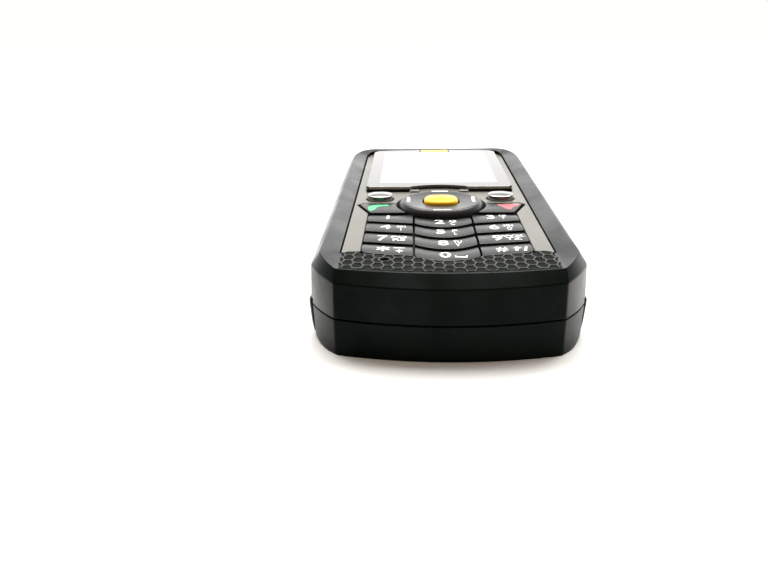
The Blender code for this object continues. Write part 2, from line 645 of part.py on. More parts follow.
def make_fascia():
    """The hard panel that frames the keys and carries the screen window."""
    clearance = SOFT_CLEARANCE
    loops = [fascia_outline()]
    for side in (-1.0, 1.0):
        centre = (side * SOFT_CENTRE[0], SOFT_CENTRE[1])
        loops.append(oval(centre, (SOFT_HALF[0] + clearance, SOFT_HALF[1] + clearance), 24))
    loops.append([(-17.9, 10.2), (17.9, 10.2), (17.9, 55.4), (-17.9, 55.4)])
    loops.append([(-4.0, 57.2), (4.0, 57.2), (4.0, 58.2), (-4.0, 58.2)])
    fascia = prism("keypad_fascia", loops, FRAME_ROOF_Z + GAP, PANEL_Z, "panel")
    for side in (-1.0, 1.0):
        xs = sorted(side * x for x in COLLAR_X)
        low = (xs[0], COLLAR_Y[0], COLLAR_Z[0])
        join(fascia, block(f"collar_{side:.0f}", low, (xs[1], COLLAR_Y[1], COLLAR_Z[1])))
        xs = sorted(side * x for x in SLOT_X)
        low = (xs[0], SLOT_Y[0], SLOT_FLOOR_Z)
        cut(fascia, block(f"slot_cutter_{side:.0f}", low, (xs[1], SLOT_Y[1], PANEL_Z + 1.0)))
    return fascia


def make_window():
    """The clear screen window with the badge pocket near its far edge."""
    x, near = WINDOW_X, WINDOW_NEAR_Y
    half, depth = WINDOW_NOTCH
    bow = [(half * i / 8.0, near + depth * (1.0 - (i / 8.0) ** 2)) for i in range(9)]
    sides = bow + [(x - 0.6, near), (x, near + 0.6), (x, WINDOW_SIDE_END_Y)]
    outline = sides + opening_far_points(x - WINDOW_CORNER, 0.4)
    outline += [(-px, py) for px, py in reversed(sides) if px > 0.0]
    pocket = [(BADGE_LOW[0] - GAP, BADGE_LOW[1] - GAP), (BADGE_HIGH[0] + GAP, BADGE_LOW[1] - GAP),
              (BADGE_HIGH[0] + GAP, BADGE_HIGH[1] + GAP), (BADGE_LOW[0] - GAP, BADGE_HIGH[1] + GAP)]
    return prism("screen_window", [outline, pocket], WINDOW_BOTTOM_Z, WINDOW_Z, "glass")


def key_outline(row, column):
    """One number key: between two row lines and two column lines, less the gaps."""
    edges = (-FIELD_X, -COLUMN_X, COLUMN_X, FIELD_X)
    low = edges[column] + (COLUMN_GAP / 2.0 if column > 0 else 0.0)
    high = edges[column + 1] - (COLUMN_GAP / 2.0 if column < 2 else 0.0)
    steps = 8 if column == 1 else 2
    xs = [low + (high - low) * i / steps for i in range(steps + 1)]
    far = [(x, row_line(row, x) - ROW_GAP / 2.0) for x in reversed(xs)]
    near = [(x, row_line(row + 1, x) + ROW_GAP / 2.0) for x in xs]
    if row == 3 and column != 1:
        outer = low if column == 0 else high
        inward = 1.0 if column == 0 else -1.0
        y = row_line(row + 1, outer) + ROW_GAP / 2.0
        cut_points = [(outer, y + KEY_CORNER_CUT), (outer + inward * 0.7, y + 0.7),
                      (outer + inward * KEY_CORNER_CUT, row_line(row + 1, outer + inward * KEY_CORNER_CUT)
                       + ROW_GAP / 2.0)]
        if column == 0:
            near = cut_points + near[1:]
        else:
            near = near[:-1] + list(reversed(cut_points))
    return near + far


def centre_of(loop):
    xs = [x for x, _ in loop]
    ys = [y for _, y in loop]
    return ((min(xs) + max(xs)) / 2.0, (min(ys) + max(ys)) / 2.0)


def make_number_keys():
    for row, names in enumerate(KEY_ROWS):
        for column, name in enumerate(names):
            loop = key_outline(row, column)
            key = prism(name, [loop], KEY_BOTTOM_Z, KEY_TOP_Z, "key", centre_of(loop))
            add_bevel(key, 0.25, 1, 60.0)


def call_outline(side):
    """The call or end key: a wedge that wraps the ring's lower quarter."""
    start = math.degrees(math.asin((CALL_FAR_Y - PAD_Y) / CALL_RING_R))
    end = -math.degrees(math.acos(CALL_INNER_X / CALL_RING_R))
    loop = [CALL_OUTER, CALL_TIP, CALL_SHOULDER]
    loop += arc((0.0, PAD_Y), CALL_RING_R, start, end, 7)
    loop.append((CALL_INNER_X, row_line(0, CALL_INNER_X) + ROW_GAP / 2.0))
    return [(side * x, y) for x, y in loop]


def make_call_keys():
    for name, side in (("call_key", -1.0), ("end_key", 1.0)):
        loop = call_outline(side)
        key = prism(name, [loop], KEY_BOTTOM_Z, CALL_TOP_Z, "key", centre_of(loop))
        add_bevel(key, 0.25, 1, 60.0)


def make_soft_keys():
    for name, side in (("soft_key_left", -1.0), ("soft_key_right", 1.0)):
        centre = (side * SOFT_CENTRE[0], SOFT_CENTRE[1])
        key = prism(name, [oval(centre, SOFT_HALF, 24)], SOFT_Z[0], SOFT_Z[1], "key", centre)
        add_bevel(key, 0.6, 2, 60.0)


def make_navigation():
    """The tilting ring on its hidden base, and the select key through the middle of both."""
    pivot = (0.0, PAD_Y, PAD_PIVOT_Z)
    z0 = PAD_PIVOT_Z
    profile = [(0.0, PAD_DISH_Z - z0), (PAD_DISH_R, PAD_DISH_Z - z0),
               (PAD_RIM_R - 0.9, PAD_RIM_Z - 0.25 - z0), (PAD_RIM_R, PAD_RIM_Z - z0),
               (PAD_R, PAD_WALL_Z - z0), (PAD_R, PAD_BOTTOM_Z - z0), (0.0, PAD_BOTTOM_Z - z0)]
    ring = turned("dpad_ring", profile, pivot, "key", 48)
    hole_half = (SELECT_HALF[0] + SELECT_CLEARANCE, SELECT_HALF[1] + SELECT_CLEARANCE)
    hole = rounded_rectangle((0.0, PAD_Y), hole_half, SELECT_ROUND + SELECT_CLEARANCE, 5)
    cut(ring, prism("select_hole", [hole], 13.0, 21.0))
    base_outline = arc((0.0, PAD_Y), PAD_BASE_R, 0.0, 360.0 - 360.0 / 40, 39)
    base = prism("dpad_base", [base_outline, hole], PAD_BASE_Z[0], PAD_BASE_Z[1], "silicone", (0.0, PAD_Y))
    select = prism("select_key", [rounded_rectangle((0.0, PAD_Y), SELECT_HALF, SELECT_ROUND, 5)],
                   SELECT_Z[0], SELECT_Z[1], "amber", (0.0, PAD_Y))
    add_bevel(select, 0.5, 2, 60.0)
    return ring, base, select


def make_screen_stack():
    block("lcd_module", LCD_LOW, LCD_HIGH, "display", 0.3)
    block("badge_plate", BADGE_LOW, BADGE_HIGH, "badge", 0.15)
    block("earpiece", *EARPIECE, "steel", 0.3)


# ---------------------------------------------------------------- side keys and port covers
def move_origin(obj, point):
    """Puts an unturned object's origin at a point without moving its shape."""
    target = Vector(point) * MM
    obj.data.transform(Matrix.Translation(obj.location - target))
    obj.location = target
    return obj


def make_side_keys():
    spans = {"volume_rocker": ROCKER_Y, "torch_key": TORCH_KEY_Y}
    for name, (low_y, high_y) in spans.items():
        low = (SIDE_KEY_X[0], low_y, SIDE_KEY_Z[0])
        block(name, low, (SIDE_KEY_X[1], high_y, SIDE_KEY_Z[1]), "grip", 0.4)
    pivot = (ROCKER_PIVOT_X, sum(ROCKER_Y) / 2.0, sum(SIDE_KEY_Z) / 2.0)
    move_origin(bpy.data.objects["volume_rocker"], pivot)


def make_flap(name, flap):
    """A port cover whose origin is on the hinge line along its lower edge."""
    cover = block(name, (flap[0], FLAP_Y[0], flap[2]), (flap[1], FLAP_Y[1], flap[3]), "grip", 0.2)
    return move_origin(cover, (sum(flap[:2]) / 2.0, sum(FLAP_Y) / 2.0, flap[2] + FLAP_HINGE_RISE))


# ---------------------------------------------------------------- inside
def make_boards():
    outline = [(-25.6, -44.0), (-18.6, -44.0), (-18.6, -56.0), (18.6, -56.0), (18.6, -44.0), (25.6, -44.0),
               (25.6, 44.0), (18.6, 44.0), (18.6, 56.0), (12.6, 56.0), (12.6, 47.0), (5.4, 47.0),
               (5.4, 56.0), (-18.6, 56.0), (-18.6, 44.0), (-25.6, 44.0)]
    prism("main_pcb", [outline], PCB_Z[0], PCB_Z[1], "board")
    block("dome_sheet", *DOME_SHEET, "film")
    block("keypad_membrane", *MEMBRANE, "silicone", 0.3)


def make_shield_can(name, low, high):
    """A thin pressed can, open towards the board."""
    bm = bmesh.new()
    bmesh.ops.create_cube(bm, size=1.0)
    size = Vector([b - a for a, b in zip(low, high)])
    bmesh.ops.scale(bm, vec=size * MM, verts=bm.verts)
    top = [face for face in bm.faces if face.normal.z > 0.5]
    bmesh.ops.delete(bm, geom=top, context="FACES")
    centre = [(a + b) / 2.0 for a, b in zip(low, high)]
    can = place(name, mesh_from(bm, name), centre, "tin")
    wall = can.modifiers.new("wall", "SOLIDIFY")
    wall.thickness = CAN_WALL * MM
    wall.offset = -1.0
    wall.use_even_offset = True
    return can


def make_card_holder(name, low, high):
    """A card frame, open below for the card and backed above."""
    holder = block(name, low, high, "tin")
    cut(holder, block(name + "_slot", (low[0] + CARD_WALL, low[1] + CARD_WALL, low[2] - 1.0),
                      (high[0] - CARD_WALL, high[1] + 1.0, high[2] - CARD_BACK)))
    return holder


def make_electronics():
    make_shield_can("shield_can_rf", *RF_CAN)
    make_shield_can("shield_can_baseband", *BASEBAND_CAN)
    make_card_holder("sim_holder", *SIM_HOLDER)
    make_card_holder("memory_card_holder", *CARD_HOLDER)
    block("battery", BATTERY_LOW, BATTERY_HIGH, "cell", 0.5)
    block("battery_connector", *CONTACT_BLOCK, "brass")
    cylinder("microphone", *MICROPHONE, "steel")
    cylinder("vibration_motor", *MOTOR, "steel", sides=28)
    prism("loudspeaker", [rounded_rectangle(*SPEAKER, 3)], *SPEAKER_Z, "steel")
    block("camera_module", (CAMERA_XY[0] - CAMERA_HALF, CAMERA_XY[1] - CAMERA_HALF, CAMERA_Z[0]),
          (CAMERA_XY[0] + CAMERA_HALF, CAMERA_XY[1] + CAMERA_HALF, CAMERA_Z[1]), "cell", 0.2)
    cylinder("camera_window", CAMERA_XY, *CAMERA_WINDOW, "clear", sides=28)
    block("torch_led", (TORCH_XY[0] - TORCH_HALF, TORCH_XY[1] - TORCH_HALF, TORCH_Z[0]),
          (TORCH_XY[0] + TORCH_HALF, TORCH_XY[1] + TORCH_HALF, TORCH_Z[1]), "film")
    cylinder("torch_lens", TORCH_XY, *TORCH_LENS, "clear", sides=20)
    antenna = block("antenna_carrier", *ANTENNA, "silicone")
    cut(antenna, block("antenna_hollow", *ANTENNA_HOLLOW))


def make_sockets():
    usb = block("micro_usb_socket", *USB_SOCKET, "tin")
    cut(usb, block("usb_throat", *USB_THROAT))
    jack = block("audio_jack", *JACK_BODY, "cell")
    cut(jack, jack_cutter("jack_bore", JACK_BORE_R, (49.0, 61.0)))


def make_fasteners():
    for i, xy in enumerate(SCREW_XY, start=1):
        make_screw(f"housing_screw_{i}", xy, HOUSING_SCREW, "steel")
    for i, xy in enumerate(LOCK_XY, start=1):
        make_screw(f"cover_lock_{i}", xy, LOCK_SCREW, "steel")


def build():
    frame = make_outer_frame()
    rear = make_rear_housing()
    for name, side in (("left", -1.0), ("right", 1.0)):
        make_grip("side_grip_" + name, side)
        cut(frame, grip_recess("frame_recess_" + name, side))
        cut(rear, grip_recess("rear_recess_" + name, side))
    make_gasket()
    make_cover()
    make_fascia()
    make_window()
    make_number_keys()
    make_call_keys()
    make_soft_keys()
    make_navigation()
    make_screen_stack()
    make_side_keys()
    make_flap("usb_cover", USB_FLAP)
    make_flap("audio_cover", JACK_FLAP)
    make_boards()
    make_electronics()
    make_sockets()
    make_fasteners()


build()
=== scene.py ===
"""Looks of the rugged keypad phone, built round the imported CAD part.

Every length in the tables below is in millimetres in the part's own frame; MM turns it into metres.
"""

import math

import bmesh
import bpy
from mathutils import Matrix, Vector
from mathutils.bvhtree import BVHTree


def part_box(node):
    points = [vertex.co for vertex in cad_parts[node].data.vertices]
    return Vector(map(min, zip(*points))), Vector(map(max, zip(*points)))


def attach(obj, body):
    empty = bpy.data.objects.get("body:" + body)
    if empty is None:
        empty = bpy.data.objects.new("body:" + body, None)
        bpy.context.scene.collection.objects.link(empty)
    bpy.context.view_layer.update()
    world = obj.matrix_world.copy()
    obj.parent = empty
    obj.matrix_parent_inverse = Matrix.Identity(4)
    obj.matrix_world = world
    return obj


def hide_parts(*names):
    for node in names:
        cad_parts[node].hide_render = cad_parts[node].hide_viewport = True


MM = 0.001

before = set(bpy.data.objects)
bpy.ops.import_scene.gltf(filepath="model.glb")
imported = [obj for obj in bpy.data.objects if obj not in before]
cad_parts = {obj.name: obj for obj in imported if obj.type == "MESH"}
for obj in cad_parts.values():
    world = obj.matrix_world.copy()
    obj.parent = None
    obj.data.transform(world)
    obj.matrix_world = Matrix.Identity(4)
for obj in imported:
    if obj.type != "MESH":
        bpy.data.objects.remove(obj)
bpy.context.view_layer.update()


# ---------------------------------------------------------------- node-built finishes
class Nodes:
    """Adds nodes to one shader tree; an input takes either a plain value or another node's output."""

    def __init__(self, tree):
        self.tree = tree

    def feed(self, socket, value):
        if isinstance(value, bpy.types.NodeSocket):
            self.tree.links.new(value, socket)
        else:
            socket.default_value = value

    def node(self, kind, **inputs):
        made = self.tree.nodes.new(kind)
        for key, value in inputs.items():
            self.feed(made.inputs[key.replace("_", " ")], value)
        return made

    def colour(self, value):
        made = self.node("ShaderNodeRGB")
        made.outputs[0].default_value = (*value, 1.0)
        return made.outputs[0]

    def span(self, value, low, high, to_low=0.0, to_high=1.0, shape="LINEAR"):
        made = self.node("ShaderNodeMapRange")
        made.interpolation_type = shape
        for i, v in enumerate((value, low, high, to_low, to_high)):
            self.feed(made.inputs[i], v)
        return made.outputs[0]

    def maths(self, operation, a, b=0.0):
        made = self.node("ShaderNodeMath")
        made.operation = operation
        self.feed(made.inputs[0], a)
        self.feed(made.inputs[1], b)
        return made.outputs[0]

    def mix(self, factor, a, b):
        made = self.node("ShaderNodeMix")
        made.data_type = "RGBA"
        for i, v in ((0, factor), (6, a), (7, b)):
            self.feed(made.inputs[i], v)
        return made.outputs[2]


class Finish(Nodes):
    """A Principled material with its grain, mottling, smudges and worn edges built from nodes."""

    def __init__(self, name, colour, rough, metallic=0.0, specular=0.5, coat=0.0, coat_rough=0.04):
        self.material = bpy.data.materials.new(name)
        self.material.use_nodes = True
        self.material.diffuse_color = (*colour, 1.0)
        super().__init__(self.material.node_tree)
        self.shader = self.tree.nodes["Principled BSDF"]
        for socket, value in (("Roughness", rough), ("Metallic", metallic), ("Specular IOR Level", specular),
                              ("Coat Weight", coat), ("Coat Roughness", coat_rough)):
            self.put(socket, value)
        self.rough = rough
        self.coord = self.node("ShaderNodeTexCoord").outputs["Object"]
        self.colour_out = self.colour(colour)
        self.height_out = None

    def put(self, socket, value):
        self.feed(self.shader.inputs[socket], value)

    def noise(self, scale, detail=3.0, rough=0.55, stretch=None):
        """Noise with a period of about 1000 / scale millimetres."""
        where = self.coord
        if stretch is not None:
            where = self.node("ShaderNodeMapping", Vector=where, Scale=stretch).outputs[0]
        return self.node("ShaderNodeTexNoise", Vector=where, Scale=scale, Detail=detail,
                         Roughness=rough).outputs["Fac"]

    def tint(self, factor, colour):
        self.colour_out = self.mix(factor, self.colour_out, self.colour(colour))
        return self

    def mottle(self, scale, colour, amount):
        """Slow drift towards another colour."""
        return self.tint(self.span(self.noise(scale), 0.35, 0.7, 0.0, amount), colour)

    def specks(self, scale, colour, amount, edge=0.68):
        """Small separate dots of dust or pigment."""
        return self.tint(self.span(self.noise(scale, 1.0), edge, edge + 0.06, 0.0, amount), colour)

    def wear(self, colour, amount, edge=0.53):
        """Paler paint where the surface turns outwards sharply."""
        point = self.node("ShaderNodeNewGeometry").outputs["Pointiness"]
        broken = self.maths("ADD", point, self.span(self.noise(900.0), 0.3, 0.7, -0.02, 0.02))
        return self.tint(self.span(broken, edge, edge + 0.09, 0.0, amount), colour)

    def smudge(self, scale, low, high, stretch=None):
        """Roughness that drifts, as handled plastic and rubber do."""
        drift = self.noise(scale, 5.0, 0.6, stretch)
        self.put("Roughness", self.span(drift, 0.3, 0.7, self.rough + low, self.rough + high))
        return self

    def sheen(self, low, high, start=0.25, end=0.75):
        """Mirror gloss that rises where the surface is seen along itself."""
        facing = self.node("ShaderNodeLayerWeight").outputs["Facing"]
        patch = self.span(self.noise(70.0, 4.0), 0.35, 0.65, 0.6, 1.4)
        rise = self.span(facing, start, end, low, high)
        self.put("Specular IOR Level", self.maths("MULTIPLY", rise, patch))
        return self

    def grain(self, scale, strength, depth):
        """Moulded or sprayed surface texture; depth is in millimetres."""
        bump = self.node("ShaderNodeBump", Strength=strength, Distance=depth * MM, Height=self.noise(scale))
        if self.height_out is not None:
            self.feed(bump.inputs["Normal"], self.height_out)
        self.height_out = bump.outputs[0]
        return self

    def done(self):
        self.put("Base Color", self.colour_out)
        if self.height_out is not None:
            self.put("Normal", self.height_out)
        return self.material


def scaled(colour, factor, add=0.0):
    return tuple(min(1.0, factor * c + add) for c in colour)


def rubber(name, colour, rough, pale, specular=0.16):
    return (Finish(name, colour, rough, specular=specular).mottle(60.0, pale, 0.5)
            .wear(scaled(colour, 3.0, 0.02), 0.5).specks(1500.0, (0.3, 0.3, 0.29), 0.05, 0.74)
            .sheen(specular, specular + 0.45)
            .smudge(90.0, -0.08, 0.10).grain(4200.0, 0.25, 0.02).grain(420.0, 0.08, 0.05).done())


def moulded(name, colour, rough, specular=0.3):
    return (Finish(name, colour, rough, specular=specular).mottle(45.0, scaled(colour, 1.5, 0.003), 0.5)
            .wear(scaled(colour, 3.0, 0.02), 0.45).specks(1300.0, (0.25, 0.25, 0.25), 0.05, 0.74)
            .sheen(specular, specular + 0.3).smudge(70.0, -0.05, 0.10).grain(3200.0, 0.35, 0.02).done())


def metal(name, colour, rough):
    return (Finish(name, colour, rough, metallic=1.0).mottle(300.0, scaled(colour, 0.7), 0.5)
            .smudge(600.0, -0.06, 0.14, (1.0, 0.06, 1.0)).grain(2600.0, 0.15, 0.01).done())


def key_gloss(name, colour, rough):
    return (Finish(name, colour, rough, specular=0.24).mottle(90.0, scaled(colour, 1.6), 0.5)
            .specks(1800.0, (0.35, 0.35, 0.34), 0.08, 0.72)
            .smudge(160.0, -0.05, 0.12).grain(2500.0, 0.06, 0.01).done())


def print_ink(name, colour):
    return (Finish(name, colour, 0.35).mottle(500.0, scaled(colour, 0.85), 0.6)
            .smudge(400.0, -0.05, 0.1).grain(3000.0, 0.1, 0.01).done())


def window_finish():
    """Clear hard-coated window over a printed border and the switched-off display, with a painted highlight
    along its near edge.
    """
    glow, soft_edge = (0.62, 0.60, 0.585), 0.15
    f = Finish("window_glass", (0.10, 0.098, 0.095), 0.05, specular=0.5)
    x, y, _ = f.node("ShaderNodeSeparateXYZ", Vector=f.coord).outputs

    def inside(value, outer, inner):
        return f.span(value, outer * MM, inner * MM)

    inside_x = inside(f.maths("ABSOLUTE", x), ACTIVE_X + soft_edge, ACTIVE_X - soft_edge)
    near = inside(y, ACTIVE_Y[0] - soft_edge, ACTIVE_Y[0] + soft_edge)
    far = inside(y, ACTIVE_Y[1] + soft_edge, ACTIVE_Y[1] - soft_edge)
    mask = f.maths("MULTIPLY", inside_x, f.maths("MULTIPLY", near, far))
    lines = f.node("ShaderNodeTexChecker", Vector=f.coord, Scale=5200.0, Color1=f.colour(glow),
                   Color2=f.colour(scaled(glow, 0.97)))
    f.colour_out = f.mix(mask, f.colour_out, lines.outputs["Color"])
    near_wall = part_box("screen_window")[0].y / MM
    # painted highlight: a pale band on the near edge of the glass, standing in for light caught by that edge
    f.tint(inside(y, near_wall + 0.35, near_wall + 0.15), (0.55, 0.54, 0.52))
    return f.mottle(30.0, (0.35, 0.33, 0.33), 0.12).smudge(120.0, -0.03, 0.05).grain(900.0, 0.02, 0.01).done()


# ---------------------------------------------------------------- dimensions shared with the part
ACTIVE_X = 16.4
ACTIVE_Y = (12.0, 55.0)
ROOF_Z = 15.6
PANEL_Z = 17.6
SEAM_X = 22.65
COLUMN_X = 7.0
FIELD_X = 18.2
ROW_MID_Y = (-20.0, -27.9, -35.8, -43.8, -51.4)
SAG_MIDDLE = 3.2
SAG_SIDE = 2.1
TOP_ROW_SIDE_Y = (-15.95, -15.85)
ROW_GAP = 0.6
COLUMN_GAP = 0.5
KEY_ROWS = (("key_1", "key_2", "key_3"), ("key_4", "key_5", "key_6"),
            ("key_7", "key_8", "key_9"), ("key_star", "key_0", "key_hash"))
PAD_Y = -8.0
TOP_ROW_R = 12.0
CALL_RING_R = 11.5
CALL_INNER_X = 9.1
CALL_OUTLINE = ((17.8, -15.65), (20.9, -7.7), (19.8, -6.4))
PAD_HOLE_R = 11.6
PANEL_BRIDGE_Y = -6.2
CORNER_BULGE = 0.05
LOW_BULGE = 0.04
SOFT_CENTRE = (15.9, -1.95)
SOFT_HALF = (3.4, 3.1)
NOTCH = (8.2, 2.0)
COLLAR_X = (5.4, 8.1)
COLLAR_Y = (4.6, 6.7)
SLOT_X = (8.3, 20.0)
SLOT_Y = (5.1, 7.4)
SLOT_FLOOR_Z = 17.0
MIC_XY = (-13.0, -50.9)
MIC_R = 0.95
CUT_GAP = 0.28
CELL_X = 2.04
CELL_Y = 3.26


def level(z, near_y, corner, shoulder, far_shoulder, far_corner, far_y):
    """A station whose points all lie at one height."""
    return ((near_y, z), (*corner, z), (*shoulder, z), (*far_shoulder, z), (*far_corner, z), (far_y, z))


def outline_at_parting(z):
    return level(z, -62.0, (22.97, -58.4), (28.8, -49.0), (28.8, 52.0), (24.6, 60.4), 62.0)


# near middle (y, z), near corner, shoulder, far shoulder, far corner (x, y, z), far middle (y, z)
FRAME_PARTING = outline_at_parting(7.95)
FRAME_SHOULDER = ((-62.0, 15.46), (22.85, -58.3, 15.46), (28.5, -48.95, 16.05),
                  (28.5, 52.0, 16.3), (24.4, 60.4, 16.8), (62.0, 17.3))
FRAME_RIDGE = ((-58.7, 17.76), (22.7, -55.95, 17.76), (26.45, -50.0, 19.2),
               (26.4, 51.0, 19.6), (22.9, 59.4, 19.6), (61.3, 18.9))
FRAME_OPENING = ((0.0, 17.6), (SEAM_X, -46.5, 17.6), (SEAM_X, -45.4, 17.6),
                 (SEAM_X, 53.6, 18.0), (21.4, 57.9, 18.5), (59.75, 18.6))
FRAME_INNER = level(ROOF_Z, -60.2, (22.0, -57.0), (26.8, -48.6), (26.9, 52.2), (23.4, 59.0), 60.5)
REAR_INNER_LOW = level(1.8, -59.9, (21.7, -56.4), (25.0, -49.4), (25.0, 50.8), (21.8, 57.9), 59.6)
REAR_INNER_TOP = level(7.65, -60.2, (22.0, -57.0), (27.0, -48.6), (27.0, 51.6), (23.2, 59.0), 60.2)
REAR_PARTING = outline_at_parting(7.65)
REAR_SIDE = level(3.6, -62.0, (22.95, -58.4), (28.6, -49.0), (28.5, 51.9), (24.4, 60.3), 61.9)
REAR_TURN = level(0.7, -61.98, (22.85, -58.6), (28.1, -49.7), (27.6, 51.6), (23.6, 59.8), 61.6)
REAR_BOTTOM = level(0.0, -61.9, (22.5, -58.9), (27.45, -50.2), (26.8, 51.2), (23.0, 59.3), 61.1)
GRIP_SECTION = ((28.85, 8.7), (29.25, 8.1), (29.25, 7.2), (28.9, 3.0), (28.5, 0.7), (27.8, 0.5),
                (28.25, 8.7))
GRIP_Y = (-48.8, 46.0)
GRIP_PITCH = 6.2
GRIP_RECESS = ((27.95, 9.0), (31.0, 9.0), (31.0, 0.2), (27.5, 0.2))
GRIP_RECESS_Y = (-50.5, 46.3)
SCREW_XY = ((-21.5, -50.0), (21.5, -50.0), (-21.5, 49.0), (21.5, 49.0))
LOCK_XY = ((-13.0, -41.5), (13.0, -41.5))


def row_line(row, x):
    """The y of the line between two key rows."""
    side = max(abs(x) - COLUMN_X, 0.0) / (FIELD_X - COLUMN_X)
    if row == 0:
        if side == 0.0:
            return PAD_Y - math.sqrt((TOP_ROW_R + ROW_GAP / 2.0) ** 2 - x * x) + ROW_GAP / 2.0
        return TOP_ROW_SIDE_Y[0] + (TOP_ROW_SIDE_Y[1] - TOP_ROW_SIDE_Y[0]) * side
    middle = min(abs(x) / COLUMN_X, 1.0)
    return ROW_MID_Y[row] + SAG_MIDDLE * middle * middle + SAG_SIDE * side


def opening_near_y(x):
    """Near edge of the frame's opening, along the bottom row of keys."""
    if abs(x) > FIELD_X + 0.25:
        return -45.5 - 1.0 * max(0.0, abs(x) - FIELD_X - 2.2) / (SEAM_X - FIELD_X - 2.2)
    return row_line(4, x) - 0.45


def strip_near_y(x):
    """Near edge of the honeycomb strip."""
    near, corner = FRAME_RIDGE[0], FRAME_RIDGE[1]
    return near[0] + (corner[1] - near[0]) * (x / corner[0]) ** 2


# ---------------------------------------------------------------- mesh helpers
def mesh_of(bm, name):
    bmesh.ops.recalc_face_normals(bm, faces=bm.faces)
    mesh = bpy.data.meshes.new(name)
    bm.to_mesh(mesh)
    bm.free()
    return mesh


def shade(mesh, degrees):
    mesh.polygons.foreach_set("use_smooth", [True] * len(mesh.polygons))
    mesh.set_sharp_from_angle(angle=math.radians(degrees))


def loose_object(name, data):
    obj = bpy.data.objects.new(name, data)
    bpy.context.scene.collection.objects.link(obj)
    return obj


def solid(name, bm):
    return loose_object(name, mesh_of(bm, name))


def node_corners(node, inset=0.0):
    """Low and high corners of a CAD node in millimetres."""
    low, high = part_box(node)
    return [c / MM + inset for c in low], [c / MM - inset for c in high]


def footprint(low, high):
    """Centre and half sizes, in plan, of the box between two corners."""
    return ((low[0] + high[0]) / 2, (low[1] + high[1]) / 2), ((high[0] - low[0]) / 2, (high[1] - low[1]) / 2)


def evaluated_mesh(obj):
    bpy.context.view_layer.update()
    return bpy.data.meshes.new_from_object(obj.evaluated_get(bpy.context.evaluated_depsgraph_get()))


def settle(obj):
    """Applies an object's modifiers, so that its mesh is its final shape."""
    done, old = evaluated_mesh(obj), obj.data
    obj.modifiers.clear()
    obj.data = done
    bpy.data.meshes.remove(old)
    return obj


def bevelled(obj, width, segments, degrees):
    made = obj.modifiers.new("round", "BEVEL")
    made.width = width * MM
    made.segments = segments
    made.limit_method = "ANGLE"
    made.angle_limit = math.radians(degrees)
    return settle(obj)


def carved(obj, others, operation="DIFFERENCE"):
    """Takes closed shapes out of a closed shape, or adds them to it."""
    for other in others:
        made = obj.modifiers.new("cut", "BOOLEAN")
        made.operation = operation
        made.solver = "EXACT"
        made.object = other
    settle(obj)
    for other in others:
        bpy.data.objects.remove(other, do_unlink=True)
    return obj


def skin(rings, closed_profile):
    """Joins equal rings of points, each a closed loop, into a bmesh; an open one is capped."""
    bm = bmesh.new()
    rows = [[bm.verts.new(Vector(p) * MM) for p in ring] for ring in rings]
    spans = len(rows) if closed_profile else len(rows) - 1
    for i in range(spans):
        low, high = rows[i], rows[(i + 1) % len(rows)]
        for j in range(len(low)):
            k = (j + 1) % len(low)
            bm.faces.new((low[j], low[k], high[k], high[j]))
    if not closed_profile:
        bm.faces.new(rows[0])
        bm.faces.new(rows[-1])
    return bm


def curve_points(a, corner, b, steps):
    return [a * (1 - t) ** 2 + corner * 2 * t * (1 - t) + b * t * t
            for t in (i / steps for i in range(steps + 1))]


def rounded_path(points, cuts, closed, steps=4):
    """A polyline with its corners rounded, each by its own cut; the count of points is always the same."""
    out, count = [], len(points)
    for i, p in enumerate(points):
        if cuts[i] <= 0.0 or (not closed and i in (0, count - 1)):
            out.append(p)
            continue
        a, b = points[i - 1] - p, points[(i + 1) % count] - p
        out += curve_points(p + a.normalized() * min(cuts[i], 0.45 * a.length), p,
                            p + b.normalized() * min(cuts[i], 0.45 * b.length), steps)
    return out


def bowed(p, corner, shoulder):
    """Moves a point of a near corner's face outwards, most in the middle of the face."""
    way = Vector((shoulder.x - corner.x, shoulder.y - corner.y, 0.0))
    t = (p - corner).dot(way) / way.length_squared
    if not 0.0 < t < 1.0 or way.length < 5.0:
        return p
    bulge = CORNER_BULGE + LOW_BULGE * max(0.0, 1.0 - corner.z / REAR_SIDE[1][2])
    return p + Vector((way.y, -way.x, 0.0)) * 4.0 * bulge * t * (1.0 - t)


def plan_ring(station, cuts=(0.35, 0.8, 7.0, 4.0), near_y=None):
    """A dense closed ring through a station's points, with its corners rounded in plan."""
    near, far = station[0], station[5]
    corner, shoulder, far_shoulder, far_corner = [Vector(p) for p in station[1:5]]

    def near_at(t):
        y = near[0] + (corner.y - near[0]) * t * t if near_y is None else near_y(corner.x * t)
        return Vector((corner.x * t, y, near[1] + (corner.z - near[1]) * t * t))

    def far_at(t):
        return Vector((far_corner.x * t, far[0] + (far_corner.y - far[0]) * t * t,
                       far[1] + (far_corner.z - far[1]) * t * t))

    def towards(a, b, length):
        return a + (b - a).normalized() * min(length, 0.45 * (b - a).length)

    t1 = 1.0 - cuts[0] / corner.x
    t2 = 1.0 - cuts[3] / far_corner.x
    turns = [(near_at(t1), corner, towards(corner, shoulder, cuts[0])),
             (towards(shoulder, corner, cuts[1]), shoulder, towards(shoulder, far_shoulder, cuts[1])),
             (towards(far_shoulder, shoulder, cuts[2]), far_shoulder,
              towards(far_shoulder, far_corner, cuts[2])),
             (towards(far_corner, far_shoulder, cuts[3]), far_corner, far_at(t2))]
    half = [near_at(t1 * i / 44) for i in range(44)]
    for i, steps in enumerate((4, 5, 7, 5)):
        half += curve_points(*turns[i], steps)
        if i < 3:
            end, after, between = turns[i][2], turns[i + 1][0], (12, 60, 4)[i]
            half += [end.lerp(after, k / between) for k in range(1, between)]
    half += [far_at(t2 * (1.0 - i / 20)) for i in range(1, 21)]
    half = [bowed(p, corner, shoulder) for p in half]
    return half + [Vector((-p.x, p.y, p.z)) for p in reversed(half[1:-1])]


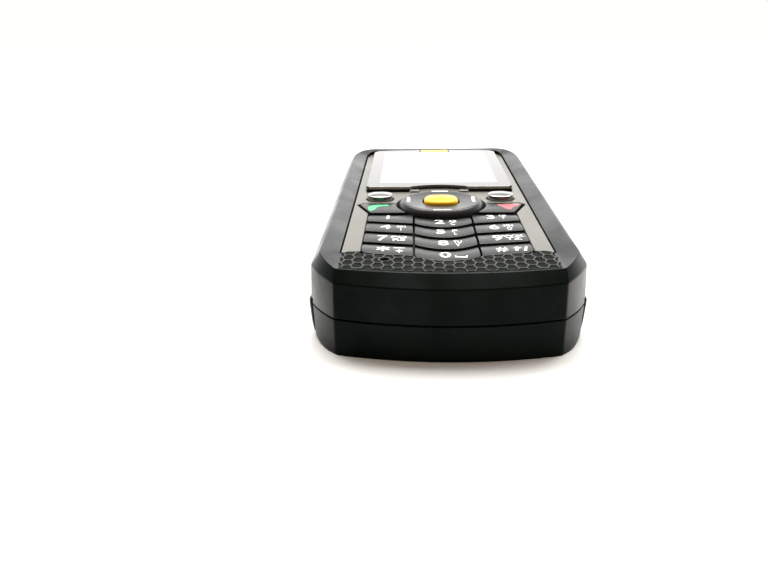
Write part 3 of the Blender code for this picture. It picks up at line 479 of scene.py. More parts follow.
def shell(name, rings, cuts_at, closed):
    """Skins rings station by station with the profile's corners rounded; cuts_at(i, point) gives each cut."""
    columns = []
    for points in zip(*rings):
        columns.append(rounded_path(points, [cuts_at(i, p) for i, p in enumerate(points)], closed))
    return solid(name, skin(list(zip(*columns)), closed))


def box_shape(name, low, high):
    bm = bmesh.new()
    bmesh.ops.create_cube(bm, size=1.0)
    bmesh.ops.scale(bm, vec=(Vector(high) - Vector(low)) * MM, verts=bm.verts)
    bmesh.ops.translate(bm, vec=(Vector(low) + Vector(high)) / 2.0 * MM, verts=bm.verts)
    return solid(name, bm)


def tube_shape(name, centre, radius, half, axis="Z"):
    """A solid cylinder about a point along Z or Y."""
    bm = bmesh.new()
    bmesh.ops.create_cone(bm, cap_ends=True, segments=48, radius1=radius * MM, radius2=radius * MM,
                          depth=2.0 * half * MM)
    if axis == "Y":
        bmesh.ops.rotate(bm, matrix=Matrix.Rotation(math.radians(90.0), 3, "X"), verts=bm.verts)
    bmesh.ops.translate(bm, vec=Vector(centre) * MM, verts=bm.verts)
    return solid(name, bm)


def curve_solid(curve, merge):
    """Turns a curve into a bmesh with its seams merged."""
    obj = loose_object(curve.name + "_curve", curve)
    mesh = evaluated_mesh(obj)
    bpy.data.objects.remove(obj, do_unlink=True)
    bm = bmesh.new()
    bm.from_mesh(mesh)
    bpy.data.meshes.remove(mesh)
    bmesh.ops.remove_doubles(bm, verts=bm.verts, dist=merge)
    return bm


def plate(name, loops, z_low, z_high, edge, resolution=3):
    """A flat outline with holes, raised between two heights, with every edge rounded."""
    curve = bpy.data.curves.new(name, "CURVE")
    curve.dimensions = "2D"
    curve.fill_mode = "BOTH"
    curve.bevel_depth = edge * MM
    curve.bevel_resolution = resolution
    curve.offset = -edge * MM
    curve.extrude = ((z_high - z_low) / 2.0 - edge) * MM
    for loop in loops:
        spline = curve.splines.new("POLY")
        spline.points.add(len(loop) - 1)
        spline.use_cyclic_u = True
        for point, (x, y) in zip(spline.points, loop):
            point.co = (x * MM, y * MM, 0.0, 1.0)
    bm = curve_solid(curve, 2e-6)
    bmesh.ops.translate(bm, vec=(0.0, 0.0, (z_low + z_high) / 2.0 * MM), verts=bm.verts)
    return bm


def slab_cutter(name, loop, z_low, z_high):
    """A sharp-edged closed shape for cutting."""
    return solid(name, plate(name, [loop], z_low, z_high, 0.02, 0))


def join_into(bm, *others):
    for other in others:
        mesh = mesh_of(other, "part")
        bm.from_mesh(mesh)
        bpy.data.meshes.remove(mesh)
    return bm


def piece(name, shape, finish, body, slot, *nodes, degrees=38.0):
    """Puts a finished object or bmesh in the scene, riding on its body and standing for its CAD nodes."""
    obj = shape if isinstance(shape, bpy.types.Object) else solid(name, shape)
    obj.name = name
    obj.data.materials.clear()
    obj.data.materials.append(finish)
    shade(obj.data, degrees)
    obj.modifiers.new("normals", "WEIGHTED_NORMAL").keep_sharp = True
    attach(obj, body)
    if nodes:
        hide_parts(*nodes)
    return obj


def superellipse(centre, half, power, steps):
    """Fuller than an ellipse and softer than a rectangle; power 2 is an ellipse."""
    points = []
    for i in range(steps):
        c, s = math.cos(2.0 * math.pi * i / steps), math.sin(2.0 * math.pi * i / steps)
        points.append((centre[0] + math.copysign(half[0] * abs(c) ** (2.0 / power), c),
                       centre[1] + math.copysign(half[1] * abs(s) ** (2.0 / power), s)))
    return points


def circle(centre, radius, steps):
    return superellipse(centre, (radius, radius), 2.0, steps)


def arc(centre, radius, start, end, steps):
    angles = [math.radians(start + (end - start) * i / steps) for i in range(steps + 1)]
    return [(centre[0] + radius * math.cos(a), centre[1] + radius * math.sin(a)) for a in angles]


def rounded_rectangle(centre, half, radius, steps=8):
    points = []
    for sx, sy, start in ((1, 1, 0), (-1, 1, 90), (-1, -1, 180), (1, -1, 270)):
        middle = (centre[0] + sx * (half[0] - radius), centre[1] + sy * (half[1] - radius))
        points += arc(middle, radius, start, start + 90.0, steps)
    return points


def smooth_loop(loop, cut, steps=4):
    """Rounds every real corner of a flat loop."""
    points = [Vector((x, y, 0.0)) for x, y in loop]
    return [(p.x, p.y) for p in rounded_path(points, [cut] * len(points), True, steps)]


def pillow(centre, loop, z_bottom, z_edge, z_top, edge=0.4, dip=None):
    """A cap with rounded edges and a crowned top, from rings drawn in towards a centre."""
    cx, cy = centre

    def ring(scale, inset, z):
        out = []
        for x, y in loop:
            reach = math.hypot(x - cx, y - cy)
            s = scale * (1.0 - inset / reach)
            px, py = cx + (x - cx) * s, cy + (y - cy) * s
            out.append(Vector((px, py, z + (dip(px, py) if dip else 0.0))))
        return out

    rings = [[Vector((x, y, z_bottom)) for x, y in loop]]
    for i in range(5):
        angle = math.radians(90.0 * i / 4)
        rings.append(ring(1.0, edge * (1.0 - math.cos(angle)), z_edge - edge + edge * math.sin(angle)))
    for scale in (0.93, 0.85, 0.75, 0.62, 0.46, 0.28, 0.1):
        rings.append(ring(scale, edge, z_edge + (z_top - z_edge) * (1.0 - scale * scale)))
    return skin(rings, False)


# ---------------------------------------------------------------- finishes
RUBBER = rubber("frame_rubber", (0.0014, 0.0036, 0.0025), 0.36, (0.0045, 0.0078, 0.0062), 0.04)
HOUSING = moulded("housing_plastic", (0.0014, 0.0036, 0.0026), 0.42, 0.05)
COVER = moulded("cover_plastic", (0.006, 0.008, 0.007), 0.45, 0.25)
GRIP = rubber("grip_rubber", (0.004, 0.0055, 0.005), 0.55, (0.010, 0.011, 0.010), 0.15)
SIDE_RUBBER = rubber("side_rubber", (0.010, 0.011, 0.010), 0.5, (0.018, 0.018, 0.018), 0.3)
PANEL = (Finish("panel_plastic", (0.125, 0.120, 0.100), 0.30, specular=0.45)
         .mottle(50.0, (0.15, 0.143, 0.12), 0.5).specks(2600.0, (0.24, 0.235, 0.21), 0.2, 0.62)
         .smudge(80.0, -0.04, 0.06).grain(2400.0, 0.06, 0.01).done())
KEY = key_gloss("key_plastic", (0.010, 0.0125, 0.011), 0.27)
SOFT_KEY = (Finish("soft_key_gloss", (0.33, 0.33, 0.325), 0.16, metallic=0.9)
            .mottle(90.0, (0.37, 0.37, 0.365), 0.5).specks(1800.0, (0.2, 0.2, 0.2), 0.1, 0.72)
            .smudge(160.0, -0.04, 0.08).grain(2500.0, 0.06, 0.01).done())
RING = key_gloss("ring_plastic", (0.022, 0.023, 0.024), 0.22)
AMBER = (Finish("amber_plastic", (1.0, 0.56, 0.008), 0.26, specular=0.3)
         .mottle(220.0, (1.0, 0.52, 0.006), 0.5).smudge(200.0, -0.05, 0.1).grain(1800.0, 0.05, 0.01).done())
WINDOW = window_finish()
BADGE = (Finish("badge_metal", (0.95, 0.72, 0.14), 0.35, specular=0.3)
         .mottle(300.0, (0.88, 0.62, 0.10), 0.5).smudge(300.0, -0.05, 0.12).grain(2500.0, 0.1, 0.01).done())
WHITE_INK = print_ink("legend_white", (0.86, 0.86, 0.84))
GREEN_INK = print_ink("legend_green", (0.06, 0.62, 0.22))
RED_INK = print_ink("legend_red", (0.42, 0.09, 0.10))
SILICONE = (Finish("membrane_silicone", (0.05, 0.05, 0.055), 0.6)
            .mottle(200.0, (0.075, 0.075, 0.08), 0.5).specks(1500.0, (0.3, 0.3, 0.3), 0.1, 0.72)
            .smudge(200.0, -0.08, 0.1).grain(1500.0, 0.2, 0.02).done())
FILM = (Finish("dome_film", (0.62, 0.60, 0.52), 0.35).mottle(150.0, (0.5, 0.47, 0.38), 0.5)
        .smudge(150.0, -0.1, 0.1).grain(900.0, 0.1, 0.02).done())
BOARD = (Finish("board_laminate", (0.008, 0.10, 0.04), 0.4, coat=0.3).mottle(900.0, (0.02, 0.17, 0.07), 0.7)
         .specks(700.0, (0.7, 0.6, 0.3), 0.8, 0.7).smudge(300.0, -0.08, 0.1).grain(1200.0, 0.3, 0.03).done())
TIN = metal("can_steel", (0.60, 0.60, 0.58), 0.32)
SPEAKER = metal("speaker_metal", (0.40, 0.40, 0.41), 0.38)
MOTOR = metal("motor_steel", (0.48, 0.48, 0.48), 0.3)
SCREW = metal("screw_steel", (0.30, 0.30, 0.31), 0.32)
BRASS = metal("contact_brass", (0.75, 0.56, 0.25), 0.28)
CELL = (Finish("battery_pack", (0.035, 0.04, 0.055), 0.36, coat=0.15).mottle(60.0, (0.05, 0.055, 0.07), 0.6)
        .wear((0.3, 0.3, 0.3), 0.3).smudge(120.0, -0.08, 0.12).grain(1400.0, 0.12, 0.02).done())
JACK = moulded("jack_plastic", (0.02, 0.02, 0.022), 0.42)
DISPLAY = (Finish("display_unit", (0.35, 0.36, 0.37), 0.3, coat=0.4).mottle(60.0, (0.28, 0.29, 0.31), 0.5)
           .smudge(120.0, -0.06, 0.08).grain(1500.0, 0.08, 0.01).done())
LENS = (Finish("lens_clear", (0.03, 0.035, 0.045), 0.04, specular=0.7, coat=1.0, coat_rough=0.01)
        .mottle(400.0, (0.05, 0.04, 0.07), 0.5).smudge(300.0, -0.02, 0.04).grain(1200.0, 0.03, 0.01).done())
TORCH_GLASS = (Finish("torch_glass", (0.75, 0.74, 0.62), 0.08, specular=0.6, coat=1.0, coat_rough=0.02)
               .mottle(900.0, (0.6, 0.58, 0.45), 0.6).smudge(400.0, -0.03, 0.05)
               .grain(1500.0, 0.4, 0.03).done())
LABEL = (Finish("battery_label", (0.55, 0.56, 0.56), 0.4).mottle(120.0, (0.47, 0.48, 0.49), 0.6)
         .smudge(150.0, -0.06, 0.1).grain(1200.0, 0.1, 0.01).done())
BED = (Finish("bed_rubber", (0.004, 0.0065, 0.0052), 0.75, specular=0.08)
       .mottle(500.0, (0.009, 0.012, 0.0105), 0.6).smudge(300.0, -0.05, 0.12).grain(2600.0, 0.5, 0.04).done())
# painted shade: near-black plastic for the slot floors and back walls in front of the window, standing in for
# the shadow in that recess
SLOT_SHADE = moulded("slot_painted_shade", (0.004, 0.006, 0.005), 0.5, 0.2)
RIB = (Finish("rib_rubber", (0.028, 0.033, 0.030), 0.34, specular=0.4)
       .mottle(400.0, (0.09, 0.095, 0.09), 0.6).wear((0.22, 0.22, 0.21), 0.5, 0.5)
       .smudge(500.0, -0.06, 0.1).grain(3500.0, 0.15, 0.01).done())


# ---------------------------------------------------------------- frame and rear housing
def grip_cutters():
    cutters = []
    for side in (-1.0, 1.0):
        rings = [[(side * x, y, z) for x, z in GRIP_RECESS] for y in GRIP_RECESS_Y]
        cutters.append(solid("grip_recess", skin(rings, False)))
    return cutters


def opening_cutter(node, side_on):
    """The opening round a side key, or round a cover at the far end."""
    low, high = node_corners(node, -CUT_GAP)
    if side_on:
        return box_shape(node + "_cut", (25.0, low[1], low[2]), (31.0, high[1], high[2]))
    return box_shape(node + "_cut", low, (high[0], 64.0, high[2]))


def make_frame():
    opening = plan_ring(FRAME_OPENING, (0.4, 0.4, 2.2, 3.0), opening_near_y)
    inner = plan_ring(FRAME_INNER)
    rings = [plan_ring(FRAME_PARTING), plan_ring(FRAME_SHOULDER), plan_ring(FRAME_RIDGE), opening,
             [Vector((p.x, p.y, ROOF_Z)) for p in opening], inner, [Vector((p.x, p.y, 7.95)) for p in inner]]

    def cuts(i, p):
        rail = min(1.0, max(0.0, (p.y + 49.5) / 12.0))
        return (0.18, 0.28 + 1.2 * rail, 0.25 + 0.8 * rail, 0.25, 0.0, 0.0, 0.0)[i]

    cutters = grip_cutters() + [opening_cutter(node, True) for node in ("volume_rocker", "torch_key")]
    cutters += [opening_cutter(node, False) for node in ("usb_cover", "audio_cover")]
    cutters += [box_shape("usb_mouth", (-11.0, 59.0, 11.0), (-3.0, 63.0, 14.0)),
                tube_shape("jack_mouth", (9.0, 61.0, 11.45), 2.3, 2.0, "Y"),
                tube_shape("mic_hole", (*MIC_XY, 16.5), MIC_R, 2.5)]
    obj = carved(shell("outer_frame_skin", rings, cuts, True), cutters)
    piece("outer_frame_skin", obj, RUBBER, "housing", "frame_rubber", "outer_frame", degrees=32.0)


def make_rear():
    stations = (REAR_INNER_LOW, REAR_INNER_TOP, REAR_PARTING, REAR_SIDE, REAR_TURN, REAR_BOTTOM)
    obj = shell("rear_housing_skin", [plan_ring(s) for s in stations],
                lambda i, p: (0.0, 0.0, 0.22, 2.0, 0.5, 0.0)[i], False)
    carved(obj, [box_shape("bay_block", (-23.8, -46.5, 1.0), (23.8, 24.8, 7.65))], "UNION")
    centre, half = footprint(*node_corners("battery_cover", -CUT_GAP))
    cutters = grip_cutters() + [box_shape("bay", (-19.6, -37.5, -1.0), (19.6, 19.3, 6.7)),
                                slab_cutter("cover_recess", rounded_rectangle(centre, half, 2.6), -1.0, 2.15)]
    cutters += [tube_shape("counterbore", (*xy, 0.7), 1.95, 1.7) for xy in SCREW_XY]
    cutters += [tube_shape("lock_hole", (*xy, 3.4), 1.35, 1.9) for xy in LOCK_XY]
    for i in range(4):
        slot = rounded_rectangle((-17.0 + 3.6 * i, 37.5), (0.6, 4.5), 0.55)
        cutters.append(slab_cutter("speaker_slot", slot, -1.0, 3.0))
    cutters += [tube_shape("camera_hole", (0.0, 46.0, 1.0), 4.4, 2.0),
                tube_shape("torch_hole", (9.5, 46.0, 1.0), 2.3, 2.0)]
    carved(obj, cutters)
    piece("rear_housing_skin", obj, HOUSING, "housing", "housing_plastic", "rear_housing", degrees=32.0)


def make_grips():
    """Ribbed rubber strips in the sides."""
    section = [Vector((x, 0.0, z)) for x, z in GRIP_SECTION]
    section = rounded_path(section, [0.12, 0.25, 0.5, 0.8, 0.25, 0.1, 0.1], True, 3)
    for name, side in (("left", -1.0), ("right", 1.0)):
        rings, y = [], GRIP_Y[0]
        while y < GRIP_Y[1]:
            from_groove = abs((y - GRIP_Y[0]) % GRIP_PITCH - GRIP_PITCH / 2.0)
            from_end = min(y - GRIP_Y[0], GRIP_Y[1] - y)
            depth = 0.42 * math.exp(-(from_groove / 0.55) ** 2) + 0.35 * max(0.0, 1.0 - from_end / 0.6) ** 2
            rings.append([(side * (p.x - (depth if p.x > 28.3 else 0.0)), y, p.z) for p in section])
            y += 0.2
        piece(f"grip_strip_{name}", skin(rings, False), GRIP, "housing", "grip_rubber", f"side_grip_{name}")


def strip_z(share):
    """Height of the strip at a share of the way from its near edge to its far one."""
    return FRAME_RIDGE[0][1] - 0.16 * share


def make_rib(bm, a, b):
    """One bar of the honeycomb, narrower at its top."""
    way = Vector((b[0] - a[0], b[1] - a[1], 0.0))
    if way.length < 0.15:
        return
    across = Vector((-way.y, way.x, 0.0)).normalized()
    rows = []
    for x, y in (a, b):
        near, far = strip_near_y(x), opening_near_y(x)
        foot = Vector((x, y, strip_z((y - near) / (far - near))))
        rows.append([bm.verts.new((foot + across * w + Vector((0, 0, h))) * MM)
                     for w, h in ((-0.14, -0.08), (-0.05, 0.26), (0.05, 0.26), (0.14, -0.08))])
    for i in range(4):
        k = (i + 1) % 4
        bm.faces.new((rows[0][i], rows[0][k], rows[1][k], rows[1][i]))
    bm.faces.new(rows[0])
    bm.faces.new(rows[1])


def on_strip(x, y):
    clear = math.hypot(x - MIC_XY[0], y - MIC_XY[1]) > MIC_R + 0.45
    return (clear and strip_near_y(x) + 0.3 < y < opening_near_y(x) - 0.3
            and abs(x) < FRAME_RIDGE[1][0] - 0.5)


def make_honeycomb():
    """Thin raised honeycomb ribs over the strip at the keypad end, and a ring round the microphone hole."""
    half_x, half_y = CELL_X / 3.0, CELL_Y / 2.0
    points, edges = {}, set()
    for column in range(-12, 13):
        for row in range(-3, 5):
            cx = column * CELL_X
            cy = -56.4 + row * CELL_Y + (half_y if column % 2 else 0.0)
            corners = [(cx + 2.0 * half_x, cy), (cx + half_x, cy + half_y), (cx - half_x, cy + half_y),
                       (cx - 2.0 * half_x, cy), (cx - half_x, cy - half_y), (cx + half_x, cy - half_y)]
            keys = [(round(x * 50), round(y * 50)) for x, y in corners]
            points.update(zip(keys, corners))
            edges.update(tuple(sorted((keys[i], keys[i - 1]))) for i in range(6))
    bm = bmesh.new()
    for ka, kb in sorted(edges):
        a, b = Vector(points[ka]), Vector(points[kb])
        kept = [p for p in (a.lerp(b, t / 16) for t in range(17)) if on_strip(*p)]
        if len(kept) > 1:
            make_rib(bm, kept[0], kept[-1])
    spots = circle(MIC_XY, MIC_R + 0.3, 28)
    for i, spot in enumerate(spots):
        make_rib(bm, spots[i - 1], spot)
    piece("honeycomb_ribs", bm, RIB, "housing", "frame_rubber")


def make_strip_floor():
    """The matt bed that the ribs stand on, with an opening for the microphone hole."""
    bm = bmesh.new()
    columns, rows = 240, 40
    mic = Vector(MIC_XY)
    grid = []
    for j in range(rows + 1):
        line = []
        for i in range(columns + 1):
            x = -22.0 + 44.0 * i / columns
            near, far = strip_near_y(x) + 0.12, opening_near_y(x) - 0.12
            p = Vector((x, near + (far - near) * j / rows))
            if MIC_R * 0.9 < (p - mic).length < MIC_R + 0.18:
                p = mic + (p - mic).normalized() * (MIC_R + 0.05)
            line.append(bm.verts.new(Vector((p.x, p.y, strip_z(j / rows) + 0.02)) * MM))
        grid.append(line)
    for near_line, far_line in zip(grid, grid[1:]):
        for i in range(columns):
            corners = (near_line[i], near_line[i + 1], far_line[i + 1], far_line[i])
            middle = sum((v.co for v in corners), Vector()) / 4.0 / MM
            if (middle.xy - mic).length > MIC_R:
                bm.faces.new(corners)
    bmesh.ops.delete(bm, geom=[v for v in bm.verts if not v.link_faces], context="VERTS")
    piece("honeycomb_bed", bm, BED, "housing", "frame_rubber")


# ---------------------------------------------------------------- keypad
def key_cap(name, shape, finish):
    return piece(name + "_cap", shape, finish, name + "_body", "key_plastic", name, degrees=50.0)


def key_edges(column):
    sides = (-FIELD_X, -COLUMN_X, COLUMN_X, FIELD_X)
    return (sides[column] + (COLUMN_GAP / 2.0 if column > 0 else 0.0),
            sides[column + 1] - (COLUMN_GAP / 2.0 if column < 2 else 0.0))


def make_number_key(row, column, name):
    """A key with a pillowed top, crowned towards the user, and rounded corners."""
    low, high = key_edges(column)
    node_low, node_high = node_corners(name)
    small, big = 0.45, 2.0 if row == 3 else 0.45

    def corner_dip(x, at_near):
        out = 0.0
        for edge, outer in ((low, column == 0), (high, column == 2)):
            r = big if (outer and at_near) else small
            d = min(r, abs(x - edge))
            out = max(out, r - math.sqrt(r * r - (r - d) ** 2))
        return out

    ends = [0.0, 0.03, 0.09, 0.18, 0.3, 0.45, 0.7, 1.0, 1.4, 2.0]
    xs = [low + e for e in ends] + [low + 2.0 + (high - low - 4.0) * i / 14 for i in range(1, 14)]
    xs += [high - e for e in reversed(ends)]
    rows = 18
    bm = bmesh.new()
    verts = []
    for j in range(rows + 1):
        v = j / rows
        line = []
        for x in xs:
            near = row_line(row + 1, x) + ROW_GAP / 2.0 + corner_dip(x, True)
            far = row_line(row, x) - ROW_GAP / 2.0 - corner_dip(x, False)
            side_fall = 0.04 * max(0.0, 1.0 - min(x - low, high - x) / 0.9) ** 2
            z = node_high[2] - 0.02 - 0.95 * (v - 0.3) ** 2 - side_fall
            line.append(bm.verts.new(Vector((x, near + (far - near) * v, z)) * MM))
        verts.append(line)
    for near_line, far_line in zip(verts, verts[1:]):
        for i in range(len(xs) - 1):
            bm.faces.new((near_line[i], near_line[i + 1], far_line[i + 1], far_line[i]))
    rim = verts[0] + [line[-1] for line in verts[1:]] + list(reversed(verts[-1][:-1]))
    rim += [line[0] for line in reversed(verts[1:-1])]
    skirt = [bm.verts.new((v.co.x, v.co.y, (node_low[2] + 0.2) * MM)) for v in rim]
    for i in range(len(rim)):
        bm.faces.new((rim[i], rim[i - 1], skirt[i - 1], skirt[i]))
    bm.faces.new(skirt)
    return key_cap(name, bevelled(solid(name, bm), 0.08, 2, 50.0), KEY)


def make_call_key(name, side):
    low, high = node_corners(name)
    start = math.degrees(math.asin((CALL_OUTLINE[-1][1] - PAD_Y) / CALL_RING_R))
    end = -math.degrees(math.acos(CALL_INNER_X / CALL_RING_R))
    loop = list(CALL_OUTLINE) + arc((0.0, PAD_Y), CALL_RING_R, start, end, 9)
    loop.append((CALL_INNER_X, row_line(0, CALL_INNER_X) + ROW_GAP / 2.0))
    loop = smooth_loop([(side * x, y) for x, y in loop], 0.5, 3)

    def dip(x, y):
        return -0.22 * max(0.0, (y + 13.0) / 7.0) ** 1.6 - 0.08 * max(0.0, (-13.0 - y) / 2.6) ** 2

    bm = pillow((side * 15.6, -11.0), loop, low[2] + 0.2, high[2] - 0.06, high[2] - 0.02, 0.14, dip)
    return key_cap(name, bm, KEY)


def make_soft_key(name, side):
    low, high = node_corners(name)
    centre = (side * SOFT_CENTRE[0], SOFT_CENTRE[1])
    loop = superellipse(centre, (SOFT_HALF[0] - 0.03, SOFT_HALF[1] - 0.03), 2.3, 64)
    key_cap(name, pillow(centre, loop, low[2] + 0.2, high[2] - 0.34, high[2] - 0.02, 0.35), SOFT_KEY)


def make_ring():
    """The tilting ring: a dished face inside a thin rim, with a hole that follows the select key."""
    hole = [Vector(p) for p in superellipse((0.0, 0.0), (4.75, 4.35), 2.6, 96)]

    def hole_reach(direction):
        best = 0.0
        for i, b in enumerate(hole):
            a = hole[i - 1]
            edge = b - a
            cross = direction.x * edge.y - direction.y * edge.x
            if abs(cross) < 1e-9:
                continue
            t = (a.x * edge.y - a.y * edge.x) / cross
            u = (a.x * direction.y - a.y * direction.x) / cross
            if t > 0 and -1e-6 <= u <= 1.0 + 1e-6:
                best = max(best, t)
        return best

    columns = []
    for x, y in circle((0.0, 0.0), 1.0, 120):
        reach = hole_reach(Vector((x, y)))
        profile = [(reach, 15.6), (reach, 18.5), (7.0, 18.6), (9.0, 18.78), (9.95, 18.82), (10.75, 18.0),
                   (10.97, 16.9), (10.97, 15.6)]
        path = rounded_path([Vector((r, 0.0, z)) for r, z in profile],
                            [0, 0.25, 1.0, 0.4, 0.55, 0.5, 0.4, 0], True, 5)
        columns.append([(p.x * x, p.x * y + PAD_Y, p.z) for p in path])
    return piece("ring_cap", skin(list(zip(*columns)), True), RING, "ring_body", "ring_plastic", "dpad_ring",
                 degrees=50.0)


def make_select():
    low, high = node_corners("select_key")
    loop = superellipse((0.0, PAD_Y), (4.38, 3.98), 2.6, 72)
    bm = pillow((0.0, PAD_Y), loop, low[2] + 0.2, high[2] - 0.34, high[2] - 0.02, 0.85)
    piece("select_cap", bm, AMBER, "select_key_body", "amber_plastic", "select_key", degrees=50.0)


# ---------------------------------------------------------------- printed marks
def finder(obj):
    bm = bmesh.new()
    bm.from_mesh(obj.data)
    tree = BVHTree.FromBMesh(bm)
    bm.free()
    return tree


def draped(bm, target):
    """Lays a thin flat shape on the surface below it: its own height is kept above that surface."""
    for _ in range(4):
        long_edges = [e for e in bm.edges if e.calc_length() > 0.35 * MM]
        if not long_edges:
            break
        bmesh.ops.subdivide_edges(bm, edges=long_edges, cuts=1)
    bmesh.ops.triangulate(bm, faces=[f for f in bm.faces if len(f.verts) > 4])
    for v in bm.verts:
        hit = target.ray_cast(Vector((v.co.x, v.co.y, 0.03)), Vector((0.0, 0.0, -1.0)))[0]
        if hit is not None:
            v.co.z = hit.z + MARK_THICKNESS * MM + v.co.z
    return bm


def text_shape(text, style, centre):
    """A flat number or letter as a thin solid centred on a point: style is its size, width and boldness."""
    size, width, bold = style
    curve = bpy.data.curves.new("text", "FONT")
    curve.body = text
    curve.size = size * MM
    curve.offset = bold * MM
    curve.extrude = MARK_THICKNESS * MM
    curve.resolution_u = 5
    curve.align_x = "CENTER"
    curve.align_y = "CENTER"
    bm = curve_solid(curve, 1e-6)
    xs, ys = [v.co.x for v in bm.verts], [v.co.y for v in bm.verts]
    mid_x, mid_y = (min(xs) + max(xs)) / 2, (min(ys) + max(ys)) / 2
    for v in bm.verts:
        v.co = Vector(((v.co.x - mid_x) * width + centre[0] * MM, v.co.y - mid_y + centre[1] * MM, v.co.z))
    return bm


def stamped(bm, target, loops):
    """Adds flat printed outlines, laid on a surface."""
    for loop in loops:
        join_into(bm, draped(plate("mark", [loop], -MARK_THICKNESS, MARK_THICKNESS, 0.004, 0), target))


MARK_THICKNESS = 0.012
DIGIT = (5.7, 0.86, 0.10)
TRIPLE = (2.9, 0.52, 0.06)
PAIR = (2.5, 1.12, 0.05)
LEGENDS = {
    "key_1": (("1", DIGIT, (-13.3, -18.9)),),
    "key_2": (("2", DIGIT, (-0.9, -23.1)), ("AB", TRIPLE, (2.2, -22.7)), ("C", TRIPLE, (2.2, -25.1))),
    "key_3": (("3", DIGIT, (11.6, -19.1)), ("DE", TRIPLE, (14.7, -17.8)), ("F", TRIPLE, (14.7, -20.2))),
    "key_4": (("4", DIGIT, (-13.6, -27.0)), ("GH", TRIPLE, (-10.0, -26.9)), ("I", TRIPLE, (-10.0, -29.4))),
    "key_5": (("5", DIGIT, (-0.9, -30.9)), ("JK", TRIPLE, (2.4, -30.2)), ("L", TRIPLE, (2.4, -32.6))),
    "key_6": (("6", DIGIT, (11.6, -27.6)), ("MN", TRIPLE, (15.0, -26.5)), ("O", TRIPLE, (15.0, -29.0))),
    "key_7": (("7", DIGIT, (-14.0, -35.7)), ("PQ", PAIR, (-10.3, -35.0)), ("RS", PAIR, (-10.3, -37.1))),
    "key_8": (("8", DIGIT, (-0.6, -39.2)), ("TU", TRIPLE, (2.5, -38.5)), ("V", TRIPLE, (2.5, -40.9))),
    "key_9": (("9", DIGIT, (11.5, -35.9)), ("WX", PAIR, (15.0, -34.4)), ("YZ", PAIR, (15.0, -36.5))),
    "key_star": (("*", (8.0, 0.85, 0.10), (-13.6, -43.2)), ("+", (4.0, 0.75, 0.06), (-10.1, -45.0))),
    "key_0": (("0", DIGIT, (-0.5, -47.2)),),
    "key_hash": (("#", (5.0, 0.85, 0.02), (11.6, -44.0)),),
}
LIFTED = ((-17.9, -14.2), (-16.9, -13.3), (-16.3, -10.6), (-15.2, -9.8), (-13.6, -9.7), (-13.4, -8.2),
          (-15.6, -8.1), (-17.4, -8.5), (-18.5, -9.6), (-18.6, -12.6))
RESTING = ((14.3, -9.6), (15.3, -11.0), (16.1, -13.3), (17.2, -13.8), (18.3, -10.9), (19.5, -9.9),
           (20.1, -8.6), (19.9, -7.6), (17.0, -7.7), (14.3, -8.3))
ARROW = ((-0.9, 0.2), (-0.2, 0.2), (-0.6, -1.4), (0.1, -1.4), (0.5, 0.2), (1.2, 0.2), (0.1, 1.5))
ARROW_STEM = ((1.2, -1.5), (1.9, -1.5), (2.4, 1.3), (1.9, 1.3))
SIGNS = {
    "key_star": [rounded_rectangle((-10.2, -42.6), (1.2, 0.3), 0.1, 2)],
    "key_0": [rounded_rectangle((2.75, -48.9), (1.3, 0.3), 0.1, 2)]
    + [rounded_rectangle((x, -48.5), (0.15, 0.6), 0.1, 2) for x in (1.6, 3.9)],
    "key_hash": [[(14.8 + x, -43.5 + y) for x, y in shape] for shape in (ARROW, ARROW_STEM)],
}


def make_marks(caps):
    for name, words in LEGENDS.items():
        target = finder(caps[name])
        bm = bmesh.new()
        for text, style, centre in words:
            join_into(bm, draped(text_shape(text, style, centre), target))
        stamped(bm, target, SIGNS.get(name, []))
        piece("legend_" + name, bm, WHITE_INK, name + "_body", "key_plastic")
    for name, ink, outline in (("call_key", GREEN_INK, LIFTED), ("end_key", RED_INK, RESTING)):
        bm = bmesh.new()
        stamped(bm, finder(caps[name]), [smooth_loop(outline, 0.4)])
        piece("legend_" + name, bm, ink, name + "_body", "key_plastic")
    bm = bmesh.new()
    loops = []
    for i in range(4):
        radius, wide, long, shift = ((8.6, 0.42, 2.5, 0.9), (9.35, 0.42, 2.3, 0.0))[i % 2]
        flat = [(x, math.pi / 2.0 * i + y / radius)
                for x, y in rounded_rectangle((radius, 0.0), (wide, long), 0.4, 4)]
        loops.append([(r * math.cos(a), r * math.sin(a) + PAD_Y + shift) for r, a in flat])
    stamped(bm, finder(caps["ring"]), loops)
    piece("ring_marks", bm, WHITE_INK, "ring_body", "ring_plastic")


# ---------------------------------------------------------------- fascia, window, badge
def far_points(half_x, clearance, steps=20):
    corner, mid = FRAME_OPENING[4], FRAME_OPENING[5]
    points = []
    for i in range(steps + 1):
        x = half_x * (1.0 - 2.0 * i / steps)
        points.append((x, mid[0] + (corner[1] - mid[0]) * (x / corner[0]) ** 2 - clearance))
    return points


def slab(x_span, y_span, z_low, z_high, edge, grow=0.0):
    """A thin plate over a rectangle, with square corners."""
    (x0, x1), (y0, y1) = sorted(x_span), y_span
    loop = [(x0 - grow, y0), (x1 + grow, y0), (x1 + grow, y1), (x0 - grow, y1)]
    return plate("slab", [loop], z_low, z_high, edge, 0)


